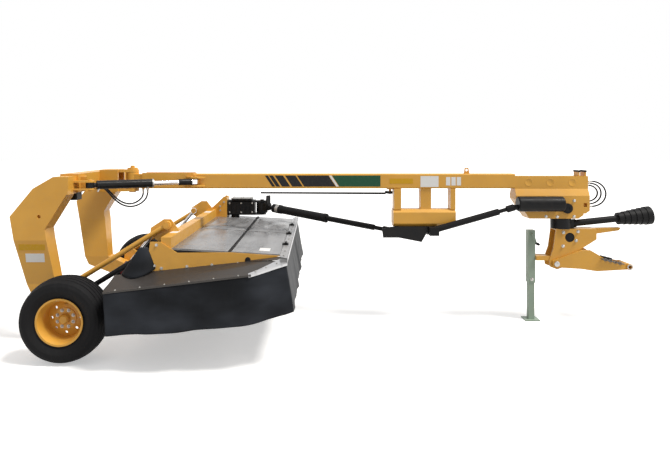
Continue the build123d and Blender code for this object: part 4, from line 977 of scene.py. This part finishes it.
def gearbox_trim():
    """The gearbox's lid, bolts and ribs; the guard and the collar of the driveline."""
    lid, lid_thick = 1284, 8
    front = 1060
    mesh = bmesh.new()
    prism(mesh, level_plate(1185, 1465, 1044, 1256, lid), (0, 0, lid_thick / 1000))
    new_piece("gearbox_lid", mesh, GREY_LID, "header")
    rows = [((x, y, lid + lid_thick), (0, 0, 1), 14) for x in (1205, 1325, 1445) for y in (1062, 1238)]
    rows += [((x, front, z), (0, -1, 0), 16) for x in (1165, 1320, 1465) for z in (1105, 1225)]
    rows += [((x, 1048, z), (0, -1, 0), 18) for x, z in ((1040, 1130), (1040, 1185), (1090, 1240))]
    bolts("gearbox_bolts", "header", rows)
    mesh = bmesh.new()
    for x in range(1200, 1441, 60):
        prism(mesh, [at(x, front, 1100), at(x + 8, front, 1100),
                     at(x + 8, front, 1235), at(x, front, 1235)], (0, -0.007, 0))
    new_piece("gearbox_ribs", mesh, BLACK, "header")
    swivel, joint = at(1590, 1150, 1180), at(3200, 0, 1016)
    tube_outside = 0.0455
    guard = [(0.312, 0.058), (0.345, 0.058), (0.352, 0.053), (1.02, 0.053), (1.027, 0.057), (1.064, 0.057)]
    collar = [(0.262, 0.0575), (0.264, 0.0595), (0.304, 0.0595), (0.306, 0.0575)]
    for name, outside, material in (("driveline_guard", guard, PLASTIC),
                                    ("driveline_collar", collar, ZINC)):
        mesh = bmesh.new()
        sleeve(mesh, outside, tube_outside, swivel, joint - swivel)
        new_piece(name, mesh, material, "drive_tube")


def jack_trim():
    """The crank's knob and the ends of the jack's pin."""
    mesh = bmesh.new()
    turned(mesh, [(0, 0.013), (0.045, 0.016), (0.075, 0.013), (0.078, 0.006)], at(4820, -94, 888),
           (0, -1, 0), 20)
    new_piece("crank_knob", mesh, PLASTIC, "hitch")
    mesh = bmesh.new()
    for side in (-1, 1):
        spot = at(4790, side * 40, 470)
        turned(mesh, [(0, 0.02), (0.006, 0.02)], spot, (0, side, 0), 18)
        turned(mesh, [(0.006, 0.012), (0.02, 0.012), (0.024, 0.008)], spot, (0, side, 0), 18)
    new_piece("jack_pin_ends", mesh, ZINC, "hitch")


def chain_link(mesh, centre, long_way, wide_way, size=0.034, wire=0.0055):
    """One oval chain link as a closed round wire."""
    along, across = Vector(long_way).normalized(), Vector(wide_way).normalized()
    out = along.cross(across)
    steps, sides = 20, 8
    rings = []
    for k in range(steps):
        angle = 2 * math.pi * k / steps
        bend = along * math.cos(angle) * size * 0.62 + across * math.sin(angle) * size * 0.36
        spot = Vector(centre) + bend
        outward = bend.normalized()
        ring = []
        for s in range(sides):
            turn = 2 * math.pi * s / sides
            ring.append(mesh.verts.new(spot + (outward * math.cos(turn) + out * math.sin(turn)) * wire))
        rings.append(ring)
    for a, b in zip(rings, rings[1:] + rings[:1]):
        for s in range(sides):
            j = (s + 1) % sides
            mesh.faces.new((a[s], a[j], b[j], b[s]))


def drawbar_trim():
    """The drawbar's safety chain, lamp plug and bushing rings; pin heads, plugs and webs of the hitch."""
    mesh = bmesh.new()
    links, ahead, down = 9, 27, 6.5
    for k in range(links):
        spot = at(5560 + ahead * k, -127, 716 - down * k)
        chain_link(mesh, spot, (ahead, 0, -down), (0.2, 0, 1) if k % 2 else (0, 1, 0))
    new_piece("safety_chain", mesh, DARK_STEEL, "drawbar")
    mesh = bmesh.new()
    corners = ((5600, 640), (5664, 640), (5672, 716), (5604, 732))
    prism(mesh, [at(x, -34, z) for x, z in corners], (0, 0.068, 0))
    turned(mesh, [(0, 0.02), (0.05, 0.02), (0.056, 0.014)], at(5668, 0, 697), (1, 0, -0.2), 24)
    new_piece("lamp_plug", mesh, PLASTIC, "drawbar")
    mesh = bmesh.new()
    for side in (-1, 1):
        turned(mesh, [(0, 0.03), (0.008, 0.03), (0.012, 0.024)], at(5043, side * 122, 660),
               (0, side, 0), 24)
    new_piece("hitch_pin_heads", mesh, ZINC, "hitch")
    mesh = bmesh.new()
    for side in (-1, 1):
        turned(mesh, [(0, 0.0535), (0.005, 0.0535), (0.007, 0.050)], at(5206, side * 72, 953),
               (0, side, 0), 40)
    new_piece("cheek_plugs", mesh, PLASTIC, "hitch")
    mesh = bmesh.new()
    for side in (-1, 1):
        corners = ((5512, 1033), (5800, 1039), (5788, 1024), (5512, 985))
        prism(mesh, [at(x, side * 30, z) for x, z in corners], (0, -side * 0.008, 0))
    new_piece("arm_webs", mesh, YELLOW, "hitch")
    mesh = bmesh.new()
    for side in (-1, 1):
        sleeve(mesh, [(0, 0.030), (0.004, 0.030), (0.006, 0.027)], 0.0215, at(5867, side * 122.2, 625),
               (0, side, 0))
    new_piece("bushing_rings", mesh, ZINC, "drawbar")


def white_to_camera(flow):
    """1 for what is seen straight on, in a mirror or through glass; 0 for light on the mower."""
    def ray(kind):
        return flow.node("ShaderNodeLightPath", out=f"Is {kind} Ray")

    return (ray("Camera") + ray("Glossy") + ray("Transmission")).above(0.5, 0.1)


def studio():
    """White floor and surround, a high sun from the front and the sky's even light."""
    mesh = bmesh.new()
    reach = 60
    for x, y in ((-reach, -reach), (reach, -reach), (reach, reach), (-reach, reach)):
        mesh.verts.new((x, y, 0))
    mesh.faces.new(mesh.verts)
    data = bpy.data.meshes.new("floor")
    mesh.to_mesh(data)
    mesh.free()
    floor = bpy.data.objects.new("floor", data)
    bpy.context.collection.objects.link(floor)

    def ground(flow):
        seen = white_to_camera(flow)
        base = flow.mix(seen, rgb(0.42, 0.41, 0.39), rgb(0.92, 0.92, 0.92))
        return {"Base Color": base, "Emission Color": flow.mix(seen, rgb(0, 0, 0), rgb(0.42, 0.42, 0.42))}

    pale = finish("pale_floor", ground, Roughness=0.95, Emission_Strength=1.0, Specular_IOR_Level=0.0)
    data.materials.append(pale)
    world = bpy.data.worlds.new("surround")
    bpy.context.scene.world = world
    world.use_nodes = True
    tree = world.node_tree
    back = tree.nodes["Background"]
    back.inputs["Color"].default_value = rgb(1, 1, 1)
    strength = white_to_camera(Flow(tree)) * 0.5 + 0.5
    tree.links.new(strength.socket, back.inputs["Strength"])
    lamp = bpy.data.lights.new("sun", "SUN")
    lamp.energy = 3.2
    lamp.angle = math.radians(16)
    lamp.color = (1.0, 0.97, 0.92)
    sun = bpy.data.objects.new("sun", lamp)
    toward = Vector((0.50, -0.20, 0.84))
    sun.rotation_euler = toward.to_track_quat("Z", "Y").to_euler()
    sun.location = toward * 12
    bpy.context.collection.objects.link(sun)


hoses()
for material, nodes in LOOKS.items():
    for node in nodes:
        dress(node, material)
for side, name in SIDES:
    tyre(name)
    wheel_fittings(side, name)
curtains()
tongue_prints()
leg_prints()
fasteners()
head_trim()
plug_welds()
deck_covers()
shelf_trim()
boots()
cylinder_trim()
header_prints()
gearbox_trim()
jack_trim()
drawbar_trim()
studio()
